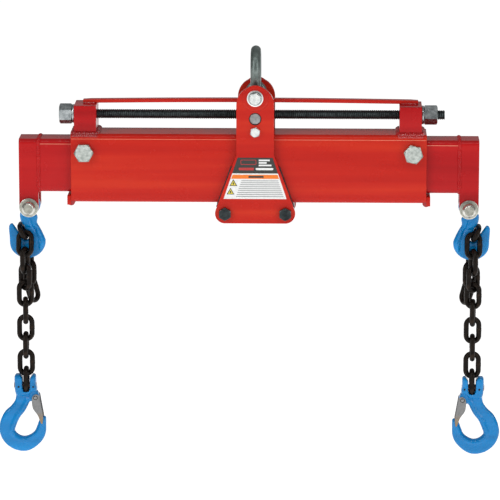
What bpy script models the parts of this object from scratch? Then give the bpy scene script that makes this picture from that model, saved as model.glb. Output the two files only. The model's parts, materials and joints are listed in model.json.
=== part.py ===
"""Adjustable spreader beam for hoisting engines: a tube that slides through a carriage under a shackle.

Metres, +Z up, +X along the beam. The origin is the inner crown of the shackle's bow, where a crane
hook bears.
Run it with: blender --background --python part.py
"""

import math

import bmesh
import bpy
from mathutils import Matrix, Vector

# ---------------------------------------------------------------- driving dimensions, in metres
GAP = 0.0003  # left between pieces that touch

SHACKLE_INSIDE = 0.064  # pivot axis up to the inner crown of the bow
SHACKLE_BAR_R = 0.0085
SHACKLE_CROWN_R = 0.030  # of the bow's centreline
SHACKLE_EAR_R = 0.0175
SHACKLE_EAR_Y = (0.0135, 0.0295)
SHACKLE_HOLE_R = 0.0099

PIVOT_Z = -SHACKLE_INSIDE
TUBE_TOP_Z = PIVOT_Z - 0.0628
BEAM_X = -0.01125  # the beam's middle, from the carriage's

TUBE_LENGTH = 0.5871
TUBE_HEIGHT = 0.1143
TUBE_WIDTH = 0.0762
TUBE_WALL = 0.008
TUBE_CORNER = 0.0104
STOP_BAR = (0.0066, 0.072, 0.0152)  # along the beam, across it and high
STOP_BAR_Z = TUBE_TOP_Z - 0.1113

ARM_HEIGHT = 0.0889
ARM_WIDTH = 0.05715
ARM_WALL = 0.00635
ARM_CORNER = 0.008
ARM_TOP_Z = TUBE_TOP_Z - 0.0102
ARM_REACH = 0.0869  # how far an arm's clevis stands out of the tube when it is closed
ARM_OVERLAP = 0.190  # how far it goes in
ARM_TRAVEL = 0.100
ARM_BOLT_FROM_END = 0.022
ARM_BOLT_Z = TUBE_TOP_Z - 0.0302
ARM_BOLT_R = 0.0095

CLEVIS_LENGTH = 0.032
CLEVIS_EAR = 0.0095
CLEVIS_BOLT_Z = TUBE_TOP_Z - 0.1252
CLEVIS_BOLT_R = 0.00795

BLOCK = (0.0367, 0.0635, 0.046)
BLOCK_INSET = {-1: 0.0052, 1: 0.0083}  # from the tube's end to the block, left and right
STRAP_Y = (-0.004, 0.012)
STRAP_X = (-0.286, 0.2683)
STRAP_THICK = 0.006
STRAP_BOW = 0.0022

SCREW_R = 0.00795
SCREW_Z = TUBE_TOP_Z + 0.0284
SCREW_X = (-0.3257, 0.3123)
DRIVE_HEX_AF = 0.0295
DRIVE_HEX_LENGTH = 0.0215
STOP_NUT_AF = 0.028
STOP_NUT_LENGTH = 0.0225
SCREW_WASHER_R = 0.0155
SCREW_WASHER = 0.0035

# A bolt's head and its nut are (size, thickness, kind). A hexagon's size is across its flats, and a disc's
# is its radius.
HALF_INCH_R = 0.00635
HALF_INCH_NUT = (0.0190, 0.0105, "hex")
PIVOT_HEAD = (0.0185, 0.0080, "hex")
PIVOT_WASHER = (0.0135, 0.0025)  # radius and thickness, as for each washer
PIVOT_BUSH_R = 0.0095
GUIDE_BOLT_R = 0.0048
GUIDE_HEAD = (0.0150, 0.0064, "hex")
GUIDE_NUT = (0.0150, 0.0080, "hex")
ROLLER_HEAD = (0.0190, 0.0080, "hex")
ARM_BOLT_HEAD = (0.0283, 0.0120, "hex")
ARM_BOLT_NUT = (0.0283, 0.0160, "hex")
CLEVIS_HEAD = (0.0112, 0.0125, "round")
CLEVIS_NUT = (0.0240, 0.0130, "hex")
CLEVIS_WASHER = (0.0160, 0.0030)
CLEVIS_SPACER_R = 0.0135
THREAD_END = 0.003  # of a bolt, past its nut

PLATE = 0.0095
PLATE_Y = 0.0413  # from the middle to a plate's inner face
PLATE_HALF = 0.031
PLATE_ROUND_Z = TUBE_TOP_Z + 0.0515
PLATE_FLARE_Z = TUBE_TOP_Z - 0.0318
PLATE_CORNER_R = 0.0164
ROLLER_X = 0.0498
ROLLER_Z = TUBE_TOP_Z - 0.1297
ROLLER_R = 0.015
ROLLER_HALF = 0.0379
GUIDE_Z = TUBE_TOP_Z + 0.0069
GUIDE_R = 0.0065
TRUNNION_HOLE_R = 0.0103
TRUNNION_PIN_R = 0.0089
TRUNNION_BARREL_R = 0.014
TRUNNION_BARREL_HALF = 0.022
PAD_Z = (TUBE_TOP_Z - 0.120, TUBE_TOP_Z - 0.052)
PAD_PROUD = 0.0022

WIRE_R = 0.00435  # of the chain
LINK_BEND_R = 0.0105  # of a link's end, on its centreline
LINK_PITCH = 0.030
LINK_STRAIGHT = LINK_PITCH + 2 * WIRE_R - 2 * LINK_BEND_R
LINK_HALF = LINK_STRAIGHT / 2 + LINK_BEND_R  # centre to the crown of the centreline
SEATED = 2 * WIRE_R + GAP  # one crown's centre above the other where links cross squarely
SLANT_RISE = 0.0083  # more of it where they cross at a slant, so that their sides meet first
LEAN_RISE = 0.0030  # and where one leans backwards on the other

HOOK_SEAT = (0.0086, -0.0545)  # of the held link's lower side: outwards and up from the clevis bolt
HOOK_SLOT_TILT = math.radians(25)
HOOK_FACE_Y = 0.0046
LEG_Y = 0.0094  # where the leg and the tail hang on the held link, in front and behind
LOAD_PIN_R = 0.0055
SLING_HALF_Y = 0.009
SLING_HEAD_HALF_Y = 0.013
LATCH_PIVOT = (0.0155, -0.020)  # from the load pin, towards the opening and up
LATCH_PIN_R = 0.0022

SIDES = {-1: "left", 1: "right"}
# Each link's twist about its length, swing towards the beam's middle and lean backwards, in degrees.
LEG_POSES = [(0, 0, -15)] + [(twist, 0, 0) for twist in (72, 135, 198, 276, 360, 450, 540, 630)]
TAIL_POSES = [(0, 11, 16), (76, 0, 0), (141, 0, 0), (235, 15, 0)]

# ---------------------------------------------------------------- scene and materials


def clear_scene():
    for old in list(bpy.data.objects):
        bpy.data.objects.remove(old, do_unlink=True)


def material(name, colour, roughness, metallic=0.0):
    made = bpy.data.materials.new(name)
    made.use_nodes = True
    shader = made.node_tree.nodes["Principled BSDF"]
    shader.inputs["Base Color"].default_value = (*colour, 1.0)
    shader.inputs["Roughness"].default_value = roughness
    shader.inputs["Metallic"].default_value = metallic
    return made


def make_materials():
    return {
        "red": material("red_paint", (0.56, 0.022, 0.020), 0.38),
        "blue": material("blue_paint", (0.012, 0.215, 0.56), 0.35),
        "zinc": material("zinc_plate", (0.72, 0.74, 0.74), 0.32, 1.0),
        "galvanised": material("galvanised_steel", (0.36, 0.40, 0.40), 0.5, 1.0),
        "black": material("black_oxide", (0.030, 0.034, 0.036), 0.5, 0.8),
        "chain": material("blackened_chain", (0.022, 0.018, 0.015), 0.42, 0.8),
        "steel": material("bare_steel", (0.42, 0.42, 0.42), 0.4, 1.0),
        "pad": material("black_pad", (0.02, 0.02, 0.022), 0.7),
    }


# ---------------------------------------------------------------- outlines, as lists of (a, b) points


def arc(centre, radius, start, end, steps):
    """Points of an arc from start to end, in degrees, both ends included."""
    angles = (math.radians(start + (end - start) * i / steps) for i in range(steps + 1))
    return [(centre[0] + radius * math.cos(t), centre[1] + radius * math.sin(t)) for t in angles]


def circle(radius, count, centre=(0.0, 0.0)):
    """It starts where a hexagon has a corner, so that the two can be joined point by point."""
    return arc(centre, radius, 30, 390, count)[:-1]


def hexagon(across_flats, count):
    """A hexagon with corners up and down, with count / 6 points on each side."""
    per_side = count // 6
    corners = circle(across_flats / math.sqrt(3), 6)
    points = []
    for k in range(6):
        here, there = Vector(corners[k]), Vector(corners[(k + 1) % 6])
        points += [tuple(here.lerp(there, i / per_side)) for i in range(per_side)]
    return points


def rounded_rectangle(half_a, half_b, radius, centre=(0.0, 0.0), steps=3):
    a, b = half_a - radius, half_b - radius
    points = []
    for k, (sa, sb) in enumerate(((1, 1), (-1, 1), (-1, -1), (1, -1))):
        corner = (centre[0] + sa * a, centre[1] + sb * b)
        points += arc(corner, radius, 90 * k, 90 * k + 90, steps)
    return points


def mirrored(points, side, centre):
    """Points given outwards and up from a centre, placed on the left (-1) or right (1)."""
    return [(centre[0] + side * a, centre[1] + b) for a, b in points]


# ---------------------------------------------------------------- meshes


def place(axis, position, point):
    """The point (a, b) of an outline that stands across an axis, at a position along it."""
    a, b = point
    return {"X": (position, a, b), "Y": (a, position, b), "Z": (a, b, position)}[axis]


def loops_along(axis, sections):
    return [[place(axis, at, p) for p in outline] for at, outline in sections]


def loft(loops, closed=False):
    """A closed surface through loops of equal length: round to the first one again, or capped."""
    bm = bmesh.new()
    rings = [[bm.verts.new(p) for p in loop] for loop in loops]
    pairs = list(zip(rings, rings[1:]))
    if closed:
        pairs.append((rings[-1], rings[0]))
    for one, two in pairs:
        for i in range(len(one)):
            j = (i + 1) % len(one)
            bm.faces.new((one[i], one[j], two[j], two[i]))
    if not closed:
        bm.faces.new(rings[0])
        bm.faces.new(rings[-1])
    bmesh.ops.recalc_face_normals(bm, faces=bm.faces)
    return bm


def prism(outline, axis, low, high):
    return loft(loops_along(axis, [(low, outline), (high, outline)]))


def pipe(outer, inner, axis, low, high):
    """A prism with a hole of any outline right through it."""
    return loft(loops_along(axis, [(low, outer), (high, outer), (high, inner), (low, inner)]), closed=True)


def turned(axis, centre, steps, count=12):
    """A stepped shaft: each step is (low, high, size, kind), where kind is round or hex."""
    sections = []
    for low, high, size, kind in steps:
        outline = hexagon(size, count) if kind == "hex" else circle(size, count)
        outline = [(centre[0] + a, centre[1] + b) for a, b in outline]
        sections += [(low, outline), (high, outline)]
    return loft(loops_along(axis, sections))


def tube_along(path, radius, sides, closed=False):
    """A round bar along a path that lies in one plane."""
    points = [Vector(p) for p in path]
    count = len(points)
    spans = [points[(i + 1) % count] - points[i] for i in range(count if closed else count - 1)]
    normal = next(a.cross(b) for a in spans for b in spans if a.cross(b).length > 1e-9).normalized()
    loops = []
    for i, point in enumerate(points):
        ahead = spans[i % len(spans)] if closed or i < count - 1 else spans[-1]
        behind = spans[i - 1] if closed or i else spans[0]
        along = (ahead.normalized() + behind.normalized()).normalized()
        across = along.cross(normal)
        ring = [2 * math.pi * (k + 0.5) / sides for k in range(sides)]
        loops.append([point + radius * (math.cos(t) * across + math.sin(t) * normal) for t in ring])
    return loft(loops, closed)


# ---------------------------------------------------------------- objects


def to_object(name, bm, origin=(0.0, 0.0, 0.0), finish=None):
    """An object whose mesh is bm, given in world space, and whose origin is on its joint's axis."""
    bmesh.ops.translate(bm, verts=bm.verts, vec=-Vector(origin))
    mesh = bpy.data.meshes.new(name)
    bm.to_mesh(mesh)
    bm.free()
    obj = bpy.data.objects.new(name, mesh)
    obj.location = origin
    bpy.context.scene.collection.objects.link(obj)
    if finish:
        mesh.materials.append(finish)
        mesh.shade_smooth()
        mesh.set_sharp_from_angle(angle=math.radians(35))
    return obj


def combine(obj, bm, operation):
    """Adds, cuts or keeps the part of obj that bm covers, with a hidden helper object."""
    helper = to_object(f"{obj.name}_helper{len(obj.modifiers)}", bm)
    helper.hide_render = True
    helper.display_type = "WIRE"
    helper.hide_set(True)
    modifier = obj.modifiers.new(operation.lower(), "BOOLEAN")
    modifier.operation = operation
    modifier.solver = "EXACT"
    modifier.object = helper
    return obj


def cut_hole(obj, axis, centre, radius, low, high, count=12):
    """A hole whose flats, not its corners, are at the radius."""
    outline = circle(radius / math.cos(math.pi / count), count, centre)
    return combine(obj, prism(outline, axis, low, high), "DIFFERENCE")


# ---------------------------------------------------------------- the beam


def tube_end(side):
    return BEAM_X + side * TUBE_LENGTH / 2


def make_main_tube(mats):
    mid_z = TUBE_TOP_Z - TUBE_HEIGHT / 2
    outer = rounded_rectangle(TUBE_WIDTH / 2, TUBE_HEIGHT / 2, TUBE_CORNER, (0, mid_z), 4)
    inner = rounded_rectangle(
        TUBE_WIDTH / 2 - TUBE_WALL, TUBE_HEIGHT / 2 - TUBE_WALL, TUBE_CORNER - TUBE_WALL, (0, mid_z), 4
    )
    tube = to_object("main_tube", pipe(outer, inner, "X", tube_end(-1), tube_end(1)), finish=mats["red"])
    thick, deep, high = STOP_BAR
    bar = rounded_rectangle(deep / 2, high / 2, 0.0015, (0, STOP_BAR_Z), 1)
    for side in SIDES:
        ends = sorted((tube_end(side) - side * 2 * GAP, tube_end(side) + side * thick))
        combine(tube, prism(bar, "X", *ends), "UNION")
        bolt = (tube_end(side) - side * ARM_BOLT_FROM_END, ARM_BOLT_Z)
        cut_hole(tube, "Y", bolt, ARM_BOLT_R + GAP, -TUBE_WIDTH, TUBE_WIDTH)


def make_screw_block(side, mats):
    length, width, height = BLOCK
    outer_x = tube_end(side) - side * BLOCK_INSET[side]
    low, high = sorted((outer_x, outer_x - side * length))
    mid_z = TUBE_TOP_Z + GAP + height / 2
    outline = rounded_rectangle(width / 2, height / 2, 0.002, (0, mid_z), 2)
    block = to_object(f"screw_block_{SIDES[side]}", prism(outline, "X", low, high), finish=mats["red"])
    cut_hole(block, "X", (0, SCREW_Z), SCREW_R + 1.5 * GAP, low - 0.01, high + 0.01, 16)


def make_tie_strap(mats):
    base = TUBE_TOP_Z + BLOCK[2] + 2 * GAP
    mid_y, half_y = sum(STRAP_Y) / 2, (STRAP_Y[1] - STRAP_Y[0]) / 2
    sections = []
    steps = 10
    for i in range(steps + 1):
        share = i / steps
        z = base + STRAP_THICK / 2 + STRAP_BOW * math.sin(math.pi * share)
        outline = rounded_rectangle(half_y, STRAP_THICK / 2, 0.001, (mid_y, z), 1)
        sections.append((STRAP_X[0] + (STRAP_X[1] - STRAP_X[0]) * share, outline))
    to_object("tie_strap", loft(loops_along("X", sections)), finish=mats["red"])


def make_arm(side, mats):
    mouth = tube_end(side)
    outer_end = mouth + side * (ARM_REACH - CLEVIS_LENGTH - GAP)
    inner_end = mouth - side * ARM_OVERLAP
    mid_z = ARM_TOP_Z - ARM_HEIGHT / 2
    outer = rounded_rectangle(ARM_WIDTH / 2, ARM_HEIGHT / 2, ARM_CORNER, (0, mid_z))
    inner = rounded_rectangle(
        ARM_WIDTH / 2 - ARM_WALL, ARM_HEIGHT / 2 - ARM_WALL, ARM_CORNER - ARM_WALL, (0, mid_z)
    )
    cap = outer_end - side * ARM_WALL
    loops = loops_along("X", [(outer_end, outer), (inner_end, outer), (inner_end, inner), (cap, inner)])
    arm = to_object(f"arm_tube_{SIDES[side]}", loft(loops), finish=mats["red"])
    bolt_x = mouth - side * ARM_BOLT_FROM_END
    radius = ARM_BOLT_R + GAP
    ends = sorted((bolt_x, bolt_x - side * ARM_TRAVEL))
    slot = arc((ends[1], ARM_BOLT_Z), radius, -90, 90, 6) + arc((ends[0], ARM_BOLT_Z), radius, 90, 270, 6)
    combine(arm, prism(slot, "Y", -ARM_WIDTH, ARM_WIDTH), "DIFFERENCE")


def clevis_bolt_x(side):
    return tube_end(side) + side * (ARM_REACH - CLEVIS_LENGTH / 2)


def make_clevis(side, mats):
    """An upside-down U of flat plate on the arm's end: two ears that hold the clevis bolt."""
    centre_x = clevis_bolt_x(side)
    half = CLEVIS_LENGTH / 2
    bottom = CLEVIS_BOLT_Z - half
    top, half_y, gap_y = ARM_TOP_Z, ARM_WIDTH / 2, ARM_WIDTH / 2 - CLEVIS_EAR
    shoulders = arc((half_y - ARM_CORNER, top - ARM_CORNER), ARM_CORNER, 0, 90, 3)
    shoulders += arc((ARM_CORNER - half_y, top - ARM_CORNER), ARM_CORNER, 90, 180, 3)
    crown_z = top - CLEVIS_EAR
    outline = [(half_y, bottom), *shoulders, (-half_y, bottom), (-gap_y, bottom), (-gap_y, crown_z)]
    outline += [(gap_y, crown_z), (gap_y, bottom)]
    block = prism(outline, "X", centre_x - half, centre_x + half)
    clevis = to_object(f"arm_clevis_{SIDES[side]}", block, finish=mats["red"])
    ear = [(centre_x + 2 * half, top + half), (centre_x - 2 * half, top + half)]
    ear += [(centre_x - 2 * half, CLEVIS_BOLT_Z), *arc((centre_x, CLEVIS_BOLT_Z), half, 180, 360, 12)]
    ear += [(centre_x + 2 * half, CLEVIS_BOLT_Z)]
    combine(clevis, prism(ear, "Y", -ARM_WIDTH, ARM_WIDTH), "INTERSECT")
    cut_hole(clevis, "Y", (centre_x, CLEVIS_BOLT_Z), CLEVIS_BOLT_R + GAP, -ARM_WIDTH, ARM_WIDTH)


# ---------------------------------------------------------------- bolts and the lead screw


def bolt_steps(half_span, radius, head, nut, washer=None, shoulders=()):
    """Steps of a bolt along Y through a span of 2 * half_span, with its head in front and its nut behind.

    head and nut are (size, thickness, kind); washer is (radius, thickness); shoulders go between.
    """
    face = half_span + GAP
    washer_r, washer_t = washer or (radius, 0)
    head_size, head_t, head_kind = head
    nut_size, nut_t, nut_kind = nut
    outer = face + washer_t
    steps = [(-outer - head_t, -outer, head_size, head_kind)]
    if washer:
        steps.append((-outer, -face, washer_r, "round"))
    at = -face
    for low, high, size in shoulders:
        steps += [(at, low, radius, "round"), (low, high, size, "round")]
        at = high
    steps.append((at, face, radius, "round"))
    if washer:
        steps.append((face, outer, washer_r, "round"))
    nut_end = outer + nut_t
    return steps + [(outer, nut_end, nut_size, nut_kind), (nut_end, nut_end + THREAD_END, radius, "round")]


def make_arm_bolt(side, mats):
    centre = (tube_end(side) - side * ARM_BOLT_FROM_END, ARM_BOLT_Z)
    steps = bolt_steps(TUBE_WIDTH / 2, ARM_BOLT_R, ARM_BOLT_HEAD, ARM_BOLT_NUT)
    bm = turned("Y", centre, steps)
    to_object(f"arm_bolt_{SIDES[side]}", bm, (centre[0], 0, centre[1]), mats["zinc"])


def make_clevis_bolt(side, mats):
    """With its washers, and the two spacers that keep the hook's eye in the middle."""
    centre = (clevis_bolt_x(side), CLEVIS_BOLT_Z)
    ear_face = ARM_WIDTH / 2 - CLEVIS_EAR - 2 * GAP
    eye_face = SLING_HALF_Y + 2 * GAP
    spacers = (-ear_face, -eye_face, CLEVIS_SPACER_R), (eye_face, ear_face, CLEVIS_SPACER_R)
    steps = bolt_steps(ARM_WIDTH / 2, CLEVIS_BOLT_R, CLEVIS_HEAD, CLEVIS_NUT, CLEVIS_WASHER, spacers)
    bm = turned("Y", centre, steps)
    to_object(f"clevis_bolt_{SIDES[side]}", bm, (centre[0], 0, centre[1]), mats["zinc"])


def make_lead_screw(mats):
    start, end = SCREW_X
    head = start + DRIVE_HEX_LENGTH
    block = tube_end(-1) + BLOCK_INSET[-1] - GAP
    steps = [
        (start, head, DRIVE_HEX_AF, "hex"),
        (head, block, SCREW_WASHER_R, "round"),
        (block, end, SCREW_R, "round"),
    ]
    to_object("lead_screw", turned("X", (0, SCREW_Z), steps, 18), (0, 0, SCREW_Z), mats["black"])


def make_stop_nut(mats):
    """The nut that locks the screw's free end, with its washer, against the right block."""
    face = tube_end(1) - BLOCK_INSET[1] + GAP
    washer_end = face + SCREW_WASHER
    nut_end = washer_end + STOP_NUT_LENGTH
    count = 18
    sections = [
        (face, circle(SCREW_WASHER_R, count, (0, SCREW_Z))),
        (washer_end, circle(SCREW_WASHER_R, count, (0, SCREW_Z))),
        (washer_end, [(a, b + SCREW_Z) for a, b in hexagon(STOP_NUT_AF, count)]),
        (nut_end, [(a, b + SCREW_Z) for a, b in hexagon(STOP_NUT_AF, count)]),
        (nut_end, circle(SCREW_R + GAP, count, (0, SCREW_Z))),
        (face, circle(SCREW_R + GAP, count, (0, SCREW_Z))),
    ]
    bm = loft(loops_along("X", sections), closed=True)
    to_object("stop_nut", bm, (0, 0, SCREW_Z), mats["black"])


# ---------------------------------------------------------------- the carriage


def plate_outline():
    """Half round at the top, straight sides, then a flare down to two round corners."""
    corner = (ROLLER_X, ROLLER_Z)
    run, drop = ROLLER_X - PLATE_HALF, PLATE_FLARE_Z - ROLLER_Z
    slant = math.degrees(math.atan2(run, drop) + math.asin(PLATE_CORNER_R / math.hypot(run, drop)))
    top = arc((0, PLATE_ROUND_Z), PLATE_HALF, 0, 180, 14)
    left = [(-PLATE_HALF, PLATE_FLARE_Z)]
    left += arc((-corner[0], corner[1]), PLATE_CORNER_R, 180 - slant, 270, 6)
    right = [*arc(corner, PLATE_CORNER_R, -90, slant, 6), (PLATE_HALF, PLATE_FLARE_Z)]
    return top + left + right


def make_plate(name, sign, mats):
    low, high = sorted((sign * PLATE_Y, sign * (PLATE_Y + PLATE)))
    plate = to_object(name, prism(plate_outline(), "Y", low, high), finish=mats["red"])
    holes = [
        ((0, PIVOT_Z), HALF_INCH_R),
        ((0, SCREW_Z), TRUNNION_HOLE_R - GAP),
        ((0, GUIDE_Z), GUIDE_BOLT_R),
        ((-ROLLER_X, ROLLER_Z), HALF_INCH_R),
        ((ROLLER_X, ROLLER_Z), HALF_INCH_R),
    ]
    for centre, radius in holes:
        cut_hole(plate, "Y", centre, radius + GAP, low - 0.01, high + 0.01)


def make_wear_pad(name, sign, mats):
    """A thin pad that fills the space between a plate's flare and the tube's side."""
    slope = (ROLLER_X + PLATE_CORNER_R - PLATE_HALF) / (PLATE_FLARE_Z - ROLLER_Z)
    half = [PLATE_HALF + PAD_PROUD + slope * (PLATE_FLARE_Z - z) for z in PAD_Z]
    outline = [(half[0], PAD_Z[0]), (half[1], PAD_Z[1]), (-half[1], PAD_Z[1]), (-half[0], PAD_Z[0])]
    low, high = sorted((sign * (TUBE_WIDTH / 2 + GAP), sign * (PLATE_Y - GAP)))
    to_object(name, prism(outline, "Y", low, high), finish=mats["pad"])


def make_trunnion_nut(mats):
    outer = PLATE_Y + PLATE
    steps = [
        (-outer, -TRUNNION_BARREL_HALF, TRUNNION_PIN_R, "round"),
        (-TRUNNION_BARREL_HALF, TRUNNION_BARREL_HALF, TRUNNION_BARREL_R, "round"),
        (TRUNNION_BARREL_HALF, outer, TRUNNION_PIN_R, "round"),
    ]
    nut = to_object("trunnion_nut", turned("Y", (0, SCREW_Z), steps, 18), (0, 0, SCREW_Z), mats["steel"])
    cut_hole(nut, "X", (0, SCREW_Z), SCREW_R + GAP, -0.03, 0.03)


def make_pivot_bolt(mats):
    """With the two bushes on it that carry the shackle's ears."""
    inner, outer = SHACKLE_EAR_Y[0] - GAP, PLATE_Y - GAP
    bushes = (-outer, -inner, PIVOT_BUSH_R), (inner, outer, PIVOT_BUSH_R)
    steps = bolt_steps(PLATE_Y + PLATE, HALF_INCH_R, PIVOT_HEAD, HALF_INCH_NUT, PIVOT_WASHER, bushes)
    to_object("pivot_bolt", turned("Y", (0, PIVOT_Z), steps), (0, 0, PIVOT_Z), mats["zinc"])


def make_guide_bolt(mats):
    """A shoulder bolt that keeps the tube's top down on its rollers."""
    shoulder = ((-PLATE_Y + GAP, PLATE_Y - GAP, GUIDE_R),)
    steps = bolt_steps(PLATE_Y + PLATE, GUIDE_BOLT_R, GUIDE_HEAD, GUIDE_NUT, None, shoulder)
    to_object("guide_bolt", turned("Y", (0, GUIDE_Z), steps), (0, 0, GUIDE_Z), mats["zinc"])


def make_roller(side, mats):
    centre = (side * ROLLER_X, ROLLER_Z)
    origin = (centre[0], 0, centre[1])
    steps = bolt_steps(PLATE_Y + PLATE, HALF_INCH_R, ROLLER_HEAD, HALF_INCH_NUT)
    to_object(f"roller_bolt_{SIDES[side]}", turned("Y", centre, steps), origin, mats["black"])
    outer, inner = circle(ROLLER_R, 18, centre), circle(HALF_INCH_R + 1.5 * GAP, 18, centre)
    sleeve = pipe(outer, inner, "Y", -ROLLER_HALF, ROLLER_HALF)
    to_object(f"roller_{SIDES[side]}", sleeve, origin, mats["steel"])


def make_shackle(mats):
    """An anchor shackle on the pivot: a round bow in the YZ plane, with two drilled ears."""
    crown_z = SHACKLE_BAR_R - SHACKLE_CROWN_R
    bow = arc((0, crown_z), SHACKLE_CROWN_R, 0, 180, 10)
    ear_y = sum(SHACKLE_EAR_Y) / 2
    leg_low, leg_mid = (ear_y, PIVOT_Z + 0.004), (ear_y + 0.0045, PIVOT_Z + 0.022)
    right = [leg_low, leg_mid]
    left = [(-a, b) for a, b in reversed(right)]
    path = [(0, a, b) for a, b in right + bow + left]
    shackle = to_object("shackle", tube_along(path, SHACKLE_BAR_R, 8), finish=mats["galvanised"])
    for sign in (-1, 1):
        low, high = sorted(sign * y for y in SHACKLE_EAR_Y)
        ear = prism(circle(SHACKLE_EAR_R, 18, (0, PIVOT_Z)), "Y", low, high)
        combine(shackle, ear, "UNION")
    cut_hole(shackle, "Y", (0, PIVOT_Z), SHACKLE_HOLE_R, -0.05, 0.05)


# ---------------------------------------------------------------- hooks


def grab_outline():
    """The side of a grab hook, outwards and up from its bolt, with a slanted slot for one link."""
    back = [(-0.010, -0.018), (-0.011, -0.031), (-0.017, -0.042), (-0.023, -0.055), (-0.025, -0.062)]
    back += [(-0.0235, -0.071), (-0.019, -0.079), (-0.012, -0.0855), (-0.002, -0.090), (0.010, -0.091)]
    front = [(0.019, -0.0885), (0.027, -0.083), (0.0325, -0.076), (0.035, -0.067), (0.0355, -0.055)]
    front += [(0.0365, -0.040), (0.0350, -0.0345), (0.0320, -0.0325), (0.0285, -0.0345)]
    tilt = math.degrees(HOOK_SLOT_TILT)
    slot_r = WIRE_R + 0.0007
    floor = slot_r - WIRE_R - GAP
    down = (math.sin(HOOK_SLOT_TILT), math.cos(HOOK_SLOT_TILT))
    bottom = (HOOK_SEAT[0] - floor * down[0], HOOK_SEAT[1] - floor * down[1])
    slot = arc(bottom, slot_r, -tilt, -tilt - 180, 6)
    return back + front + slot + [(0.0116, -0.036), (0.0172, -0.025), (0.0150, -0.012)]


def make_grab_hook(side, mats):
    bolt = (clevis_bolt_x(side), CLEVIS_BOLT_Z)
    body = prism(mirrored(grab_outline(), side, bolt), "Y", -HOOK_FACE_Y, HOOK_FACE_Y)
    hook = to_object(f"grab_hook_{SIDES[side]}", body, (bolt[0], 0, bolt[1]), mats["blue"])
    rib = [(-0.0160, -0.0430), (-0.0225, -0.0555), (-0.0240, -0.0625), (-0.0225, -0.0710)]
    rib += [(-0.0180, -0.0780), (-0.0165, -0.0780), (-0.0160, -0.0500)]
    shank = [(-0.0095, -0.005), (-0.0105, -0.031), (-0.0135, -0.0370), (0.0108, -0.0370), (0.0168, -0.025)]
    shank += [(0.0145, -0.005)]
    for part, half in ((rib, 0.008), (shank, SLING_HALF_Y - 0.0006), (circle(0.017, 20), SLING_HALF_Y)):
        combine(hook, prism(mirrored(part, side, bolt), "Y", -half, half), "UNION")
    cut_hole(hook, "Y", bolt, CLEVIS_BOLT_R + GAP, -0.03, 0.03, 16)


def sling_outline():
    """The side of a sling hook, towards its opening and up from its load pin."""
    back = [(-0.0160, -0.008), (-0.0180, -0.019), (-0.0200, -0.027), (-0.0265, -0.036), (-0.036, -0.045)]
    back += [(-0.042, -0.055), (-0.0455, -0.065), (-0.047, -0.076), (-0.045, -0.086), (-0.041, -0.095)]
    bowl = [(-0.034, -0.1035), (-0.0245, -0.110), (-0.0165, -0.1130), (-0.008, -0.1144), (0.002, -0.1134)]
    bowl += [(0.012, -0.1085), (0.022, -0.100), (0.0286, -0.091), (0.032, -0.081), (0.0326, -0.070)]
    tip = [(0.0326, -0.057), (0.0306, -0.0538), (0.0276, -0.0538), (0.021, -0.060), (0.017, -0.070)]
    throat = [(0.013, -0.079), (0.006, -0.085), (-0.003, -0.0884), (-0.011, -0.087), (-0.017, -0.083)]
    throat += [(-0.020, -0.078), (-0.018, -0.071), (-0.014, -0.061), (-0.010, -0.054), (-0.003, -0.045)]
    lug = [(0.002, -0.036), (0.006, -0.0285), (0.0155, -0.0255), (0.0200, -0.0235), (0.0215, -0.0190)]
    return back + bowl + tip + throat + lug + [(0.0200, -0.0140), (0.0150, -0.0080)]


def last_link(side):
    return leg_links(side)[-1][0]


def load_pin(side):
    """The middle of a sling hook's load pin, in the bottom of its chain's last link."""
    return last_link(side) - Vector((0, 0, LINK_HALF - WIRE_R - GAP - LOAD_PIN_R))


def beside_pin(side, outline):
    """An outline given towards the hook's opening and up from the load pin, put in its place."""
    pin = load_pin(side)
    return mirrored(outline, -side, (pin.x, pin.z))


def sling_slab(side, outline, half):
    """A slab of a sling hook, half as thick each way as given."""
    mid = load_pin(side).y
    return prism(beside_pin(side, outline), "Y", mid - half, mid + half)


def sling_head():
    """The two ears' outline, astride the chain's last link."""
    shoulder = 0.0045
    top = arc((0.0120, 0.0145), shoulder, 0, 90, 2) + arc((-0.0155, 0.0145), shoulder, 90, 180, 2)
    return [(0.0160, -0.011), (0.0165, 0.005), *top, (-0.0200, 0.005), (-0.0185, -0.012), (-0.010, -0.018)]


def make_sling_hook(side, mats):
    pin = load_pin(side)
    body = sling_slab(side, sling_outline(), SLING_HALF_Y)
    hook = to_object(f"sling_hook_{SIDES[side]}", body, pin, mats["blue"])
    combine(hook, sling_slab(side, sling_head(), SLING_HEAD_HALF_Y), "UNION")
    slot, depth, mouth = 0.006, -0.0028, 0.0112
    outline = [(-mouth, 0.030), (-mouth, 0.019), (-slot, 0.0138), *arc((0, depth), slot, 180, 360, 6)]
    outline += [(slot, 0.0138), (mouth, 0.019), (mouth, 0.030)]
    combine(hook, sling_slab(side, outline, 0.05), "DIFFERENCE")
    bend, half = (pin.y, last_link(side).z - LINK_STRAIGHT / 2), WIRE_R + 0.0008
    socket = circle(LINK_BEND_R + WIRE_R + 0.0009, 18, bend)
    combine(hook, prism(socket, "X", pin.x - half, pin.x + half), "DIFFERENCE")
    pin_ends = sorted(pin.x - side * x for x in (-0.0212, 0.0172))
    combine(hook, prism(circle(LOAD_PIN_R, 12, (pin.y, pin.z)), "X", *pin_ends), "UNION")
    rivet = beside_pin(side, [LATCH_PIVOT])[0]
    cut_hole(hook, "Y", rivet, LATCH_PIN_R + GAP, -0.05, 0.05)


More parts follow.
